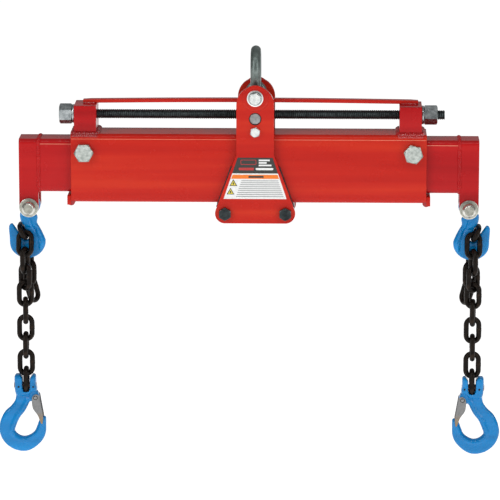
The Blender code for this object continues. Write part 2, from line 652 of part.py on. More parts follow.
def make_latch(side, mats):
    """A folded sheet latch: two cheeks astride the hook's lug and tip, with a web towards the bowl."""
    outline = [(0.0165, -0.0140), (0.0215, -0.0150), (0.0280, -0.0540), (0.0262, -0.0655)]
    outline += [(0.0225, -0.0610), (0.0190, -0.0500), (0.0120, -0.0400)]
    outline += [(0.0095, -0.0240), (0.0110, -0.0180)]
    cheek, half = 0.0015, SLING_HALF_Y + 2 * GAP
    rivet = beside_pin(side, [LATCH_PIVOT])[0]
    origin = (rivet[0], load_pin(side).y, rivet[1])
    cheeks = sling_slab(side, outline, half + cheek)
    latch = to_object(f"latch_{SIDES[side]}", cheeks, origin, mats["steel"])
    inside = [(0.0040, -0.0050), (0.0400, -0.0050), (0.0400, -0.0700), (0.0050, -0.0700)]
    inside += [(0.0050, -0.0505), (0.0208, -0.0505), (0.0136, -0.0380), (0.0040, -0.0380)]
    combine(latch, sling_slab(side, inside, half), "DIFFERENCE")
    mid, reach = origin[1], half + cheek + 0.001
    combine(latch, prism(circle(LATCH_PIN_R, 10, rivet), "Y", mid - reach, mid + reach), "UNION")


# ---------------------------------------------------------------- chain


def link_mesh():
    """One link, upright, in the XZ plane, with its middle at the origin."""
    half = LINK_STRAIGHT / 2
    path = arc((0, half), LINK_BEND_R, 0, 180, 6) + arc((0, -half), LINK_BEND_R, 180, 360, 6)
    return tube_along([(a, 0, b) for a, b in path], WIRE_R, 6, closed=True)


def upright(side, twist, swing=0, lean=0):
    """A link's turn: twisted about its length, then swung towards the beam and leant back, in degrees."""
    turn = Matrix.Rotation(math.radians(lean), 3, "X")
    turn = turn @ Matrix.Rotation(math.radians(side * swing), 3, "Y")
    return turn @ Matrix.Rotation(math.radians(-side * twist), 3, "Z")


def held_link_centre(side):
    """The middle of the link that the grab hook's slot holds, edge up and leant like the slot."""
    out = HOOK_SEAT[0] + LINK_BEND_R * math.sin(HOOK_SLOT_TILT)
    up = HOOK_SEAT[1] + LINK_BEND_R * math.cos(HOOK_SLOT_TILT)
    return Vector((clevis_bolt_x(side) + side * out, 0, CLEVIS_BOLT_Z + up))


def hanging_point(side, y):
    """The middle of the held link's lower side, in front of the hook or behind it."""
    return Vector((clevis_bolt_x(side) + side * HOOK_SEAT[0], y, CLEVIS_BOLT_Z + HOOK_SEAT[1]))


def swing_of(turn):
    """How far a link's length is swung sideways within its own plane, as a level vector."""
    across, along = turn.col[0].copy(), turn.col[2]
    across.z = 0
    across.normalize()
    return across.dot(along) * across


def rise(distance, *turns):
    """The step up from a link's bottom crown to its neighbour's top crown, leant with their swings."""
    return distance * sum((swing_of(turn) for turn in turns), Vector((0, 0, 1))).normalized()


def seat(upper, lower):
    """How far apart two links' crowns are, for their poses."""
    slant = math.cos(math.radians(lower[0] - upper[0])) ** 2
    return SEATED + SLANT_RISE * slant + LEAN_RISE * abs(math.sin(math.radians(lower[2] - upper[2])))


def hang(side, wire, poses):
    """Each link's middle, its turn, and the middle of the wire it hangs on, down from a first wire."""
    turns = [upright(side, *pose) for pose in poses]
    crown = wire + rise(SEATED + GAP, turns[0])
    links = []
    for k, turn in enumerate(turns):
        drop = turn @ Vector((0, 0, LINK_HALF))
        links.append((crown - drop, turn, wire))
        wire = crown - 2 * drop
        if k + 1 < len(poses):
            crown = wire + rise(seat(poses[k], poses[k + 1]), turn, turns[k + 1])
    return links


def leg_links(side):
    return hang(side, hanging_point(side, -LEG_Y), LEG_POSES)


def tail_links(side):
    return hang(side, hanging_point(side, LEG_Y), TAIL_POSES)


def make_link(name, centre, turn, pivot, mats):
    bm = link_mesh()
    bmesh.ops.rotate(bm, verts=bm.verts, matrix=turn)
    bmesh.ops.translate(bm, verts=bm.verts, vec=centre)
    to_object(name, bm, pivot, mats["chain"])


def make_chain(side, mats):
    word = SIDES[side]
    leant = Matrix.Rotation(side * HOOK_SLOT_TILT + math.pi / 2, 3, "Y")
    held = leant @ Matrix.Rotation(math.pi / 2, 3, "X")
    bolt = Vector((clevis_bolt_x(side), 0, CLEVIS_BOLT_Z))
    make_link(f"held_link_{word}", held_link_centre(side), held, bolt, mats)
    for k, link in enumerate(leg_links(side), 1):
        make_link(f"leg_link_{word}_{k}", *link, mats)
    for k, link in enumerate(tail_links(side), 1):
        make_link(f"tail_link_{word}_{k}", *link, mats)


# ---------------------------------------------------------------- all of it


def main():
    clear_scene()
    mats = make_materials()
    make_shackle(mats)
    make_main_tube(mats)
    make_tie_strap(mats)
    make_lead_screw(mats)
    make_stop_nut(mats)
    for name, sign in (("front", -1), ("rear", 1)):
        make_plate(f"carriage_plate_{name}", sign, mats)
        make_wear_pad(f"wear_pad_{name}", sign, mats)
    make_trunnion_nut(mats)
    make_pivot_bolt(mats)
    make_guide_bolt(mats)
    for side in SIDES:
        make_screw_block(side, mats)
        make_arm(side, mats)
        make_clevis(side, mats)
        make_arm_bolt(side, mats)
        make_clevis_bolt(side, mats)
        make_roller(side, mats)
        make_grab_hook(side, mats)
        make_chain(side, mats)
        make_sling_hook(side, mats)
        make_latch(side, mats)


main()
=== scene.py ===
"""The looks of the adjustable spreader beam: painted steel, zinc bolts, forged hooks and blackened chain.

Metres, +Z up, +X along the beam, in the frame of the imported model.
"""

import json
import math
import random

import bmesh
import bpy
import numpy as np
from mathutils import Matrix, Vector
from mathutils.geometry import delaunay_2d_cdt, tessellate_polygon

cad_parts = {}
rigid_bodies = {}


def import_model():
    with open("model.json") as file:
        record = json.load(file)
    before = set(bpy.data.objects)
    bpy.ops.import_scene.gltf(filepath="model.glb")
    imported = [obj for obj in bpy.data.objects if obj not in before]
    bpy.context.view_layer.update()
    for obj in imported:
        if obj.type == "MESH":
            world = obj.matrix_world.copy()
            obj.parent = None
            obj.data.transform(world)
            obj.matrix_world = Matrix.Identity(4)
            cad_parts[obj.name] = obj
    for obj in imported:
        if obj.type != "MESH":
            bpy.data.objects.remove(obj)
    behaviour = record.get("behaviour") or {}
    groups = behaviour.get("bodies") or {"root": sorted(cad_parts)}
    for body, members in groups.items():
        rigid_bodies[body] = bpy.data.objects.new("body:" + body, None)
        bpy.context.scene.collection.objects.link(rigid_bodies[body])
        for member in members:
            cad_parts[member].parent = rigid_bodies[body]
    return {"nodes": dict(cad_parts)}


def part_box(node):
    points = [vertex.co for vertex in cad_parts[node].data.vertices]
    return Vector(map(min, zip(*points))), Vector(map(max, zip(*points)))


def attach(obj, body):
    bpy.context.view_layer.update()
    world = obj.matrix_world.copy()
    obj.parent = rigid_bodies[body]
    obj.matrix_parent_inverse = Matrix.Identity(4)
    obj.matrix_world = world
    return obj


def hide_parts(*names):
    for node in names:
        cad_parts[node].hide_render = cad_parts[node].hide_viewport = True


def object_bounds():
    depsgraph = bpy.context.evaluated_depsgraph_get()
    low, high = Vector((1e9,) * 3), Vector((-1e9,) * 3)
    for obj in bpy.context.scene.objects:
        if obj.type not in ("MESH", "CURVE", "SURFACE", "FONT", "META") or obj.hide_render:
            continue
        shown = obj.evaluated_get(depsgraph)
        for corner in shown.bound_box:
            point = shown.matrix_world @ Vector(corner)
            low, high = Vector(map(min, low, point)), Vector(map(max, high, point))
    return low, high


for startup in list(bpy.data.objects):
    bpy.data.objects.remove(startup, do_unlink=True)

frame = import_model()
CAD_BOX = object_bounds()

SIDES = {-1: "left", 1: "right"}
GAP = 0.0003  # between pieces that touch
CIRCLE = 48  # points round a bolt
PITCH = {"screw": 0.003175, "bolt": 0.0016}
THREAD_DEPTH = 0.38  # of the pitch
HEX_CHAMFER = math.tan(math.radians(30))
PAINT_SPECULAR = 0.19  # below a clear lacquer's, for a deep colour

# ---------------------------------------------------------------- materials


def add(tree, kind, **values):
    """A shader node with its sockets and settings. A value that is a socket is linked."""
    made = tree.nodes.new("ShaderNode" + kind)
    for key, value in values.items():
        name = key.replace("_", " ")
        if name in made.inputs:
            if isinstance(value, bpy.types.NodeSocket):
                tree.links.new(value, made.inputs[name])
            else:
                made.inputs[name].default_value = value
        else:
            setattr(made, key, value)
    return made


def ramp(tree, factor, *stops):
    """A colour ramp through (position, colour) stops."""
    made = add(tree, "ValToRGB", Fac=factor)
    bar = made.color_ramp
    while len(bar.elements) < len(stops):
        bar.elements.new(0.5)
    for element, (position, colour) in zip(bar.elements, stops):
        element.position = position
        element.color = (*colour, 1.0)
    return made.outputs["Color"]


def grey(value):
    return (value, value, value)


def noise(tree, scale, detail, roughness=0.5, stretch=(1, 1, 1)):
    """Noise in the piece's own space, in features per metre, stretched along an axis if asked."""
    where = add(tree, "TexCoord").outputs["Object"]
    mapped = add(tree, "Mapping", Vector=where, Scale=stretch).outputs["Vector"]
    made = add(tree, "TexNoise", Vector=mapped, Scale=scale, Detail=detail, Roughness=roughness)
    return made.outputs["Fac"]


def between(tree, factor, low, high, start=0.3, end=0.7):
    """low to high as the factor goes from start to end."""
    made = add(tree, "MapRange", Value=factor, From_Min=start, From_Max=end, To_Min=low, To_Max=high)
    return made.outputs["Result"]


def mottled(scale, detail, contrast, *stops):
    """A colour that follows noise through (position, colour) stops."""
    return lambda tree: ramp(tree, noise(tree, scale, detail, contrast), *stops)


def cloudy(scale, detail, low, high):
    """A roughness that drifts between two values."""
    return lambda tree: between(tree, noise(tree, scale, detail), low, high)


def relief(*layers):
    """A normal from (scale, detail, depth in metres) layers of noise, one on the other."""

    def normal(tree):
        under = None
        for scale, detail, depth in layers:
            made = add(tree, "Bump", Height=noise(tree, scale, detail), Distance=depth, Strength=1.0)
            if under:
                tree.links.new(under, made.inputs["Normal"])
            under = made.outputs["Normal"]
        return under

    return normal


def surface(name, colour, roughness, normal=None, metallic=0.0, coat=0.0, specular=0.5):
    """A finish. colour, roughness and normal are functions of the node tree that return a socket."""
    made = bpy.data.materials.new(name)
    made.use_nodes = True
    tree = made.node_tree
    shader = tree.nodes["Principled BSDF"]
    shader.inputs["Metallic"].default_value = metallic
    shader.inputs["Coat Weight"].default_value = coat
    shader.inputs["Coat Roughness"].default_value = 0.12
    shader.inputs["Specular IOR Level"].default_value = specular
    tree.links.new(colour(tree), shader.inputs["Base Color"])
    tree.links.new(roughness(tree), shader.inputs["Roughness"])
    if normal:
        tree.links.new(normal(tree), shader.inputs["Normal"])
    return made


def paint(name, dark, mid, light, coat, peel):
    """Powder coat over steel, with orange peel and a few dull patches; its colour streaks along the beam as
    a painted reflection.
    """

    def colour(tree):
        # bands of lighter and darker colour along the beam: painted reflection
        reflection_streaks = noise(tree, 9, 4, stretch=(0.16, 3, 4.5))
        return ramp(tree, reflection_streaks, (0.30, dark), (0.50, mid), (0.72, light))

    bump = relief((16, 2, 0.0006), (420, 2, peel))
    return surface(name, colour, cloudy(35, 5, 0.18, 0.30), bump, coat=coat, specular=PAINT_SPECULAR)


def plated(name, dark, light, low, high, metallic=1.0, grain=0.00003):
    """A plated or bare metal: cloudy, with fine tool marks."""
    colour = mottled(160, 6, 0.6, (0.34, dark), (0.62, light))
    return surface(name, colour, cloudy(240, 5, low, high), relief((900, 3, grain)), metallic)


def chain_black():
    """Heat-blackened alloy chain with brown scale in patches."""
    black, brown, rust = (0.006, 0.005, 0.0045), (0.013, 0.0095, 0.0075), (0.042, 0.025, 0.016)
    colour = mottled(130, 6, 0.65, (0.30, black), (0.52, brown), (0.76, rust))
    scale = relief((150, 4, 0.0004), (1100, 4, 0.00008))
    return surface("chain_black", colour, cloudy(260, 5, 0.30, 0.50), scale, 0.75, specular=0.3)


def latch_steel():
    """Pressed sheet, tinted tan at its tip, which is its lowest part."""

    def colour(tree):
        where = add(tree, "TexCoord").outputs["Object"]
        height = add(tree, "SeparateXYZ", Vector=where).outputs["Z"]
        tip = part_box("latch_left")[0].z
        near = between(tree, height, 0, 1, tip, tip + 0.022)
        base = ramp(tree, noise(tree, 220, 5), (0.3, grey(0.20)), (0.7, grey(0.33)))
        tint = ramp(tree, near, (0.15, (0.36, 0.24, 0.12)), (0.95, grey(0.26)))
        lighter = add(tree, "BrightContrast", Color=base, Bright=0.62).outputs["Color"]
        mixed = add(tree, "Mix", data_type="RGBA", blend_type="MULTIPLY")
        mixed.inputs["Factor"].default_value = 0.75
        tree.links.new(tint, mixed.inputs["A"])
        tree.links.new(lighter, mixed.inputs["B"])
        return mixed.outputs["Result"]

    return surface("latch_steel", colour, cloudy(300, 4, 0.36, 0.5), relief((700, 3, 0.00004)), 0.8)


def galvanised():
    """Hot-dip zinc, dulled to a mottled grey-green."""
    colour = mottled(95, 6, 0.62, (0.32, (0.085, 0.112, 0.105)), (0.70, (0.225, 0.265, 0.252)))
    spangle = relief((110, 4, 0.0005), (700, 3, 0.00006))
    return surface("galvanised", colour, cloudy(140, 4, 0.30, 0.48), spangle, 0.75)


def printed(name, colour):
    """Ink on a vinyl label."""
    low = tuple(0.9 * part for part in colour)
    look = mottled(300, 3, 0.5, (0.3, low), (0.7, colour))
    return surface(name, look, cloudy(200, 2, 0.36, 0.44), relief((60, 2, 0.0001)))


PAINTS = {  # a material's name, its darkest, middle and lightest colour, its coat and its peel
    "red": ("red_paint", (0.43, 0.009, 0.005), (0.51, 0.015, 0.007), (0.58, 0.030, 0.010), 0.0, 0.00003),
    "deep_red": ("deep_red", (0.34, 0.004, 0.006), (0.41, 0.006, 0.008), (0.47, 0.01, 0.01), 0.0, 0.00003),
    "weld": ("red_weld", (0.24, 0.003, 0.005), (0.36, 0.006, 0.007), (0.50, 0.014, 0.011), 1.0, 0.00022),
    # a light orange paint for the thin lines on the tubes' upper corners: a painted highlight
    "painted_highlight": ("red_painted_highlight", (0.66, 0.12, 0.07), (0.78, 0.24, 0.15), (0.88, 0.38, 0.26), 0.6, 0.00003),
    "blue": ("blue_paint", (0.001, 0.160, 0.42), (0.001, 0.205, 0.53), (0.003, 0.250, 0.62), 0.3, 0.00002),
}
PLATED = {  # a material's name, its darker and lighter colour, its roughness, and how metallic it is
    "zinc": ("zinc", (0.66, 0.71, 0.70), (0.92, 0.95, 0.92), 0.26, 0.42),
    # a darker copy of the zinc for chamfers, rims and threads: painted shade
    "zinc_edge": ("zinc_edge", (0.22, 0.24, 0.24), (0.42, 0.45, 0.44), 0.24, 0.38),
    "washer": ("zinc_washer", (0.72, 0.76, 0.75), (0.93, 0.95, 0.93), 0.26, 0.40),
    "dull_zinc": ("dull_zinc", (0.28, 0.28, 0.24), (0.47, 0.47, 0.41), 0.30, 0.50),
    # a lighter copy of the dull zinc for chamfers and rims: painted highlight
    "bright_edge": ("bright_edge", (0.50, 0.49, 0.44), (0.74, 0.73, 0.68), 0.22, 0.34),
    "black": ("black_oxide", (0.012, 0.017, 0.019), (0.040, 0.050, 0.052), 0.34, 0.52, 0.7),
    # a lighter copy of the black for chamfers and thread flanks: painted highlight
    "black_edge": ("black_edge", (0.022, 0.028, 0.030), (0.055, 0.068, 0.070), 0.26, 0.42, 0.8),
    "drive": ("drive_zinc", (0.26, 0.29, 0.30), (0.52, 0.56, 0.57), 0.22, 0.40),
    "aged_zinc": ("aged_zinc", (0.36, 0.40, 0.37), (0.66, 0.70, 0.66), 0.26, 0.44),
    # a darker copy of the aged zinc for chamfers and threads: painted shade
    "aged_zinc_edge": ("aged_zinc_edge", (0.14, 0.16, 0.14), (0.34, 0.37, 0.34), 0.24, 0.38),
    "steel": ("steel", grey(0.24), grey(0.42), 0.34, 0.5),
    "pad": ("pad", (0.010, 0.010, 0.012), (0.030, 0.030, 0.034), 0.6, 0.8, 0.0, 0.0002),
    # near black: the set screw and the retaining pins, and painted shade in the trunnion's gaps and round
    # the latch rivets
    "hole": ("hole", (0.004, 0.004, 0.005), (0.010, 0.010, 0.012), 0.6, 0.8, 0.3),
    "rim": ("rim", (0.10, 0.045, 0.018), (0.30, 0.15, 0.06), 0.45, 0.65, 0.5),
}
INKS = {
    "label_white": (0.83, 0.84, 0.83),
    "label_dark": (0.030, 0.033, 0.030),
    "label_orange": (0.86, 0.20, 0.012),
    "label_yellow": (0.74, 0.60, 0.06),
    "label_grey": (0.23, 0.24, 0.25),
    "label_red": (0.46, 0.03, 0.03),
}
FINISHES = {finish: paint(*look) for finish, look in PAINTS.items()}
FINISHES |= {finish: plated(*look) for finish, look in PLATED.items()}
FINISHES |= {finish: printed(finish, colour) for finish, colour in INKS.items()}
FINISHES |= {"chain": chain_black(), "latch": latch_steel(), "galvanised": galvanised()}

# ---------------------------------------------------------------- outlines, as lists of (a, b) points


def arc(centre, radius, start, end, steps):
    """Points of an arc from start to end, in degrees, both ends included."""
    angles = (math.radians(start + (end - start) * i / steps) for i in range(steps + 1))
    return [(centre[0] + radius * math.cos(t), centre[1] + radius * math.sin(t)) for t in angles]


def circle(radius, centre, count=CIRCLE):
    return arc(centre, radius, 0, 360, count)[:-1]


def rounded_rectangle(half_a, half_b, radius, centre, steps=8):
    a, b = half_a - radius, half_b - radius
    points = []
    for k, (sa, sb) in enumerate(((1, 1), (-1, 1), (-1, -1), (1, -1))):
        corner = (centre[0] + sa * a, centre[1] + sb * b)
        points += arc(corner, radius, 90 * k, 90 * k + 90, steps)
    return points


def smooth_outline(points, step):
    """A closed curve through the points, with a point about every step."""
    dense = []
    count = len(points)
    for i in range(count):
        before, here, there, after = (Vector(points[(i + k) % count]) for k in (-1, 0, 1, 2))
        pieces = max(1, round((there - here).length / step))
        for k in range(pieces):
            t = k / pieces
            bend = (2 * before - 5 * here + 4 * there - after) * t * t
            turn = (3 * (here - there) + after - before) * t * t * t
            dense.append(tuple(0.5 * (2 * here + (there - before) * t + bend + turn)))
    return dense


# ---------------------------------------------------------------- meshes


def place(axis, position, point):
    """The point (a, b) of an outline that stands across an axis, at a position along it."""
    a, b = point
    return {"X": (position, a, b), "Y": (a, position, b), "Z": (a, b, position)}[axis]


def skin(bm, loops, closed):
    """Faces through loops of equal length: round to the first one again, or capped."""
    rings = [[bm.verts.new(p) for p in loop] for loop in loops]
    pairs = list(zip(rings, rings[1:]))
    if closed:
        pairs.append((rings[-1], rings[0]))
    for one, two in pairs:
        for i in range(len(one)):
            j = (i + 1) % len(one)
            bm.faces.new((one[i], one[j], two[j], two[i]))
    if not closed:
        bm.faces.new(rings[0])
        bm.faces.new(rings[-1])


def stack(bm, axis, stages, closed=False):
    """A skin through (position, outline) stages along an axis."""
    skin(bm, [[place(axis, at, p) for p in outline] for at, outline in stages], closed)


def slab(bm, outline, holes, axis, low, high):
    """A flat plate with holes."""
    loops = [outline, *holes]
    triangles = tessellate_polygon([[(a, b, 0) for a, b in loop] for loop in loops])
    layers = []
    for at in (low, high):
        layer = [bm.verts.new(place(axis, at, p)) for loop in loops for p in loop]
        for triangle in triangles:
            bm.faces.new([layer[i] for i in triangle])
        layers.append(layer)
    one, two = layers
    start = 0
    for loop in loops:
        for i in range(start, start + len(loop)):
            j = i + 1 if i + 1 < start + len(loop) else start
            bm.faces.new((one[i], one[j], two[j], two[i]))
        start += len(loop)


def spin(bm, axis, centre, profile, count=CIRCLE, closed=False):
    """A turned solid from (position, radius) points along its axis, or a ring if it is closed."""
    stack(bm, axis, [(at, circle(radius, centre, count)) for at, radius in profile], closed)


def ring_profile(low, high, radius, soft):
    """A disc's or a washer's profile, with rounded rims."""
    rim = ((0, 1), (0.3, 0.3), (1, 0))
    start = [(low + along * soft, radius - inward * soft) for along, inward in rim]
    return start + [(high - along * soft, radius - inward * soft) for along, inward in reversed(rim)]


def hex_block(bm, axis, centre, low, high, across_flats, turn=30, chamfered=(True, True), bore=None):
    """A bolt's head or a nut: a hexagon whose ends are turned to a cone, with a bore if asked."""
    half = across_flats / 2
    crown = 0.95 * half
    outline = []  # each point's angle, and how far out the hexagon is there
    for i in range(CIRCLE):
        angle = 2 * math.pi * i / CIRCLE
        outline.append((angle + math.radians(turn), half / math.cos(angle % (math.pi / 3) - math.pi / 6)))

    def ring(at, sign, radius=None):
        loop = []
        for angle, corner in outline:
            reach = corner if radius is None else radius
            back = HEX_CHAMFER * (corner - crown) if radius is None and sign else 0
            point = (centre[0] + reach * math.cos(angle), centre[1] + reach * math.sin(angle))
            loop.append(place(axis, at - sign * back, point))
        return loop

    loops = [ring(low, 0, crown)] if chamfered[0] else []
    loops += [ring(low, -1 if chamfered[0] else 0), ring(high, 1 if chamfered[1] else 0)]
    if chamfered[1]:
        loops.append(ring(high, 0, crown))
    if bore:
        loops += [ring(high, 0, 1.12 * bore), ring(high - 0.12 * bore, 0, bore)]
        loops += [ring(low + 0.12 * bore, 0, bore), ring(low, 0, 1.12 * bore)]
    skin(bm, loops, closed=bool(bore))


def thread(bm, axis, centre, low, high, radius, pitch):
    """A screw thread between two places, as one ridge wound along a helix and cut flat at both ends."""
    sides, depth, slope, lead_in = 24, THREAD_DEPTH * pitch, 0.15, 0.18
    root, flank = radius - depth, radius - slope * depth
    ridge = ((0.0, root), (0.30, flank), (0.45, radius), (0.62, flank))
    steps = int(sides * ((high - low) / pitch + 2))
    rows = []
    for i in range(steps + sides + 1):
        angle = 2 * math.pi * i / sides
        row = []
        for share, reach in ridge:
            at = low + pitch * (i / sides - 1 + share)
            held = min(max(at, low), high)
            fade = 1 - lead_in * (held == high)
            point = (centre[0] + fade * reach * math.cos(angle), centre[1] + fade * reach * math.sin(angle))
            row.append(bm.verts.new(place(axis, held, point)))
        rows.append(row)
    along = "XYZ".index(axis)
    made = []
    for i in range(steps):
        here = rows[i] + [rows[i + sides][0]]
        there = rows[i + 1] + [rows[i + 1 + sides][0]]
        for k in range(len(ridge)):
            corners = (here[k], there[k], there[k + 1], here[k + 1])
            places = [corner.co[along] for corner in corners]
            if max(places) - min(places) > 0.00001:
                made.append(bm.faces.new(corners))
    bmesh.ops.delete(bm, geom=[v for row in rows for v in row if not v.link_faces], context="VERTS")
    rims = [edge for face in made for edge in face.edges if edge.is_boundary]
    bmesh.ops.holes_fill(bm, edges=rims, sides=0)


def sweep(bm, path, radius, normal, sides, closed=False):
    """A round bar along points in one plane. radius is a number or a function of the share along it."""
    points = [Vector(p) for p in path]
    count = len(points)
    normal = Vector(normal).normalized()
    loops = []
    for i, point in enumerate(points):
        ahead = points[(i + 1) % count] if closed or i < count - 1 else point
        behind = points[i - 1] if closed or i else point
        across = (ahead - behind).normalized().cross(normal)
        reach = radius(i / count) if callable(radius) else radius
        ring = [2 * math.pi * k / sides for k in range(sides)]
        loops.append([point + reach * (math.cos(t) * across + math.sin(t) * normal) for t in ring])
    skin(bm, loops, closed)


def bead(bm, path, radius, normal, seed, closed=False):
    """A weld bead: a bar with the ripples of its pool, a little uneven."""
    step, stretch = 0.0006, 6  # metres between rings, and rings between changes of width
    spaced = []
    corners = [Vector(p) for p in path]
    spans = zip(corners, corners[1:] + corners[:1]) if closed else zip(corners, corners[1:])
    for here, there in spans:
        pieces = max(1, round((there - here).length / step))
        spaced += [here.lerp(there, k / pieces) for k in range(pieces)]
    chance = random.Random(seed)
    swell = [chance.uniform(-1, 1) for _ in range(len(spaced) // stretch + 3)]

    def reach(share):
        along = share * len(spaced)
        left = int(along / stretch)
        slow = swell[left] + (swell[left + 1] - swell[left]) * (along / stretch - left)
        return radius * (1 + 0.20 * abs(math.sin(along * 0.55)) + 0.10 * slow)

    sweep(bm, spaced, reach, normal, 10, closed)


# ---------------------------------------------------------------- pieces


def mesh_of(bm, name, finish=None):
    """The mesh of a closed shape, faces outwards, with smooth shading."""
    bmesh.ops.recalc_face_normals(bm, faces=bm.faces)
    mesh = bpy.data.meshes.new(name)
    bm.to_mesh(mesh)
    bm.free()
    if finish:
        mesh.materials.append(FINISHES[finish])
    mesh.shade_smooth()
    return mesh


def add_object(name, data):
    """A new object in the scene, for a mesh, a light or the camera."""
    obj = bpy.data.objects.new(name, data)
    bpy.context.scene.collection.objects.link(obj)
    return obj


def settle(obj, body, nodes):
    """Puts an object on a body, in the CAD nodes' place, and hides those nodes."""
    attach(obj, body)
    if nodes:
        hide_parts(*nodes)
    return obj


def piece(name, bm, body, finish, nodes=(), sharp=35):
    """A finished object that rides on a body and stands for CAD nodes."""
    mesh = mesh_of(bm, name, finish)
    mesh.set_sharp_from_angle(angle=math.radians(sharp))
    return settle(add_object(name, mesh), body, nodes)


def paint_slope_shading(obj, axis, finish):
    """A second finish on the faces that slope to an axis, such as chamfers and threads: a darker copy of the
    metal for painted shade, or a lighter one for a painted highlight, as the finish given is.
    """
    obj.data.materials.append(FINISHES[finish])
    for face in obj.data.polygons:
        if 0.3 < abs(face.normal["XYZ".index(axis)]) < 0.96:
            face.material_index = 1
    return obj


def soften(obj, width, segments=3):
    """Rounded edges where the faces meet at more than 40 degrees."""
    modifier = obj.modifiers.new("edges", "BEVEL")
    modifier.width = width
    modifier.segments = segments
    modifier.limit_method = "ANGLE"
    modifier.angle_limit = math.radians(40)
    modifier.harden_normals = True
    return obj


def relax(obj, factor, iterations):
    """Softer creases everywhere."""
    modifier = obj.modifiers.new("relax", "SMOOTH")
    modifier.factor, modifier.iterations = factor, iterations
    return obj


def baked(obj):
    """The object with its modifiers taken into its mesh."""
    graph = bpy.context.evaluated_depsgraph_get()
    fresh = bpy.data.meshes.new_from_object(obj.evaluated_get(graph))
    obj.modifiers.clear()
    obj.data = fresh
    return obj


def carve(obj, build, *shape, sharp=35):
    """Cuts out of an object the shape that build makes from its arguments."""
    bm = bmesh.new()
    build(bm, *shape)
    cutter = add_object("cutter", mesh_of(bm, "cutter"))
    modifier = obj.modifiers.new("cut", "BOOLEAN")
    modifier.operation = "DIFFERENCE"
    modifier.solver = "EXACT"
    modifier.object = cutter
    baked(obj)
    bpy.data.objects.remove(cutter, do_unlink=True)
    obj.data.shade_smooth()
    obj.data.set_sharp_from_angle(angle=math.radians(sharp))
    return obj


def middle(node):
    low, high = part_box(node)
    return (low + high) / 2


def middle_xz(node):
    """The middle of a node's box, seen from the front."""
    at = middle(node)
    return (at.x, at.z)


# ---------------------------------------------------------------- the beam

TUBE_LOW, TUBE_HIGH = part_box("main_tube")
TUBE_WALL = 0.008
TUBE_CORNER, TUBE_CORNER_INSIDE = 0.0080, 0.0012
STOP_BAR = 0.0066
TUBE_X = (TUBE_LOW.x + STOP_BAR, TUBE_HIGH.x - STOP_BAR)
TUBE_TOP = TUBE_HIGH.z
TUBE_HEIGHT = 0.1143
STOP_BAR_HEIGHT = 0.0152
WELD_R = 0.0045
ALONG, ACROSS, UP = (1, 0, 0), (0, 1, 0), (0, 0, 1)


def make_main_tube():
    """The box tube, open at both ends, with a painted highlight line along its upper corners."""
    half_y = TUBE_HIGH.y
    centre = (0, TUBE_TOP - TUBE_HEIGHT / 2)
    outer = rounded_rectangle(half_y, TUBE_HEIGHT / 2, TUBE_CORNER, centre)
    inner = rounded_rectangle(half_y - TUBE_WALL, TUBE_HEIGHT / 2 - TUBE_WALL, TUBE_CORNER_INSIDE, centre)
    bm = bmesh.new()
    low, high = TUBE_X
    stack(bm, "X", [(low, outer), (high, outer), (high, inner), (low, inner)], closed=True)
    soften(piece("main_tube_shell", bm, "beam", "red", ["main_tube"]), 0.0006)
    # thin light lines along the tube's upper corners: painted highlight
    painted_highlight("main_tube_painted_highlight", "beam", (low + 0.001, high - 0.001), half_y, TUBE_TOP - TUBE_CORNER)


def painted_highlight(name, body, ends, half_y, z):
    """The two thin lines where a tube's rounded upper corners meet its sides, in a light orange paint: a
    painted highlight.
    """
    thin, sunk = 0.00042, 0.00005
    bm = bmesh.new()
    for sign in SIDES:
        sweep(bm, [(x, sign * (half_y - sunk), z) for x in ends], thin, ACROSS, 8)
    piece(name, bm, body, "painted_highlight")


def make_stop_bars():
    """A bar welded under each mouth, that an arm's clevis meets when it closes."""
    half_y = 0.036
    middle_z = TUBE_LOW.z + STOP_BAR_HEIGHT / 2
    outline = rounded_rectangle(half_y, STOP_BAR_HEIGHT / 2, 0.001, (0, middle_z), 3)
    under, reach = TUBE_TOP - TUBE_HEIGHT, half_y - 0.001
    for (side, word), end in zip(SIDES.items(), TUBE_X):
        bm = bmesh.new()
        slab(bm, outline, (), "X", *sorted((end, end + side * STOP_BAR)))
        soften(piece(f"stop_bar_{word}", bm, "beam", "red"), 0.0009)
        bm = bmesh.new()
        bead(bm, [(end, -reach, under), (end, reach, under)], WELD_R * 1.2, ALONG, 11 + side)
        piece(f"stop_bar_weld_{word}", bm, "beam", "weld")


def make_screw_blocks():
    """The blocks that hold the screw, each with beads round its foot."""
    bore = circle(0.0084, (0, middle("lead_screw").z))
    for side, word in SIDES.items():
        node = f"screw_block_{word}"
        low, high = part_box(node)
        centre = (0, (low.z + high.z) / 2)
        outline = rounded_rectangle(high.y, (high.z - low.z) / 2, 0.0022, centre, 5)
        bm = bmesh.new()
        slab(bm, outline, [bore], "X", low.x, high.x)
        soften(piece(f"{node}_body", bm, "beam", "deep_red", [node]), 0.0013)
        bm = bmesh.new()
        base = TUBE_TOP - 0.0008
        left, right, near, far = low.x - 0.001, high.x + 0.001, low.y + 0.002, high.y - 0.002
        path = [(left, near, base), (right, near, base), (right, far, base), (left, far, base)]
        bead(bm, path, WELD_R, UP, 3 + side, closed=True)
        for sign in SIDES:
            for seed, width, y, z, longer in (
                (20, 1.1, high.y - 0.0012, base - 0.0005, -0.0015),
                (30, 0.6, TUBE_HIGH.y - 0.0032, TUBE_TOP - 0.0036, 0.003),
            ):
                ends = [(low.x - longer, sign * y, z), (high.x + longer, sign * y, z)]
                bead(bm, ends, WELD_R * width, UP, seed + side + 3 * sign)
        piece(f"screw_block_weld_{word}", bm, "beam", "weld")


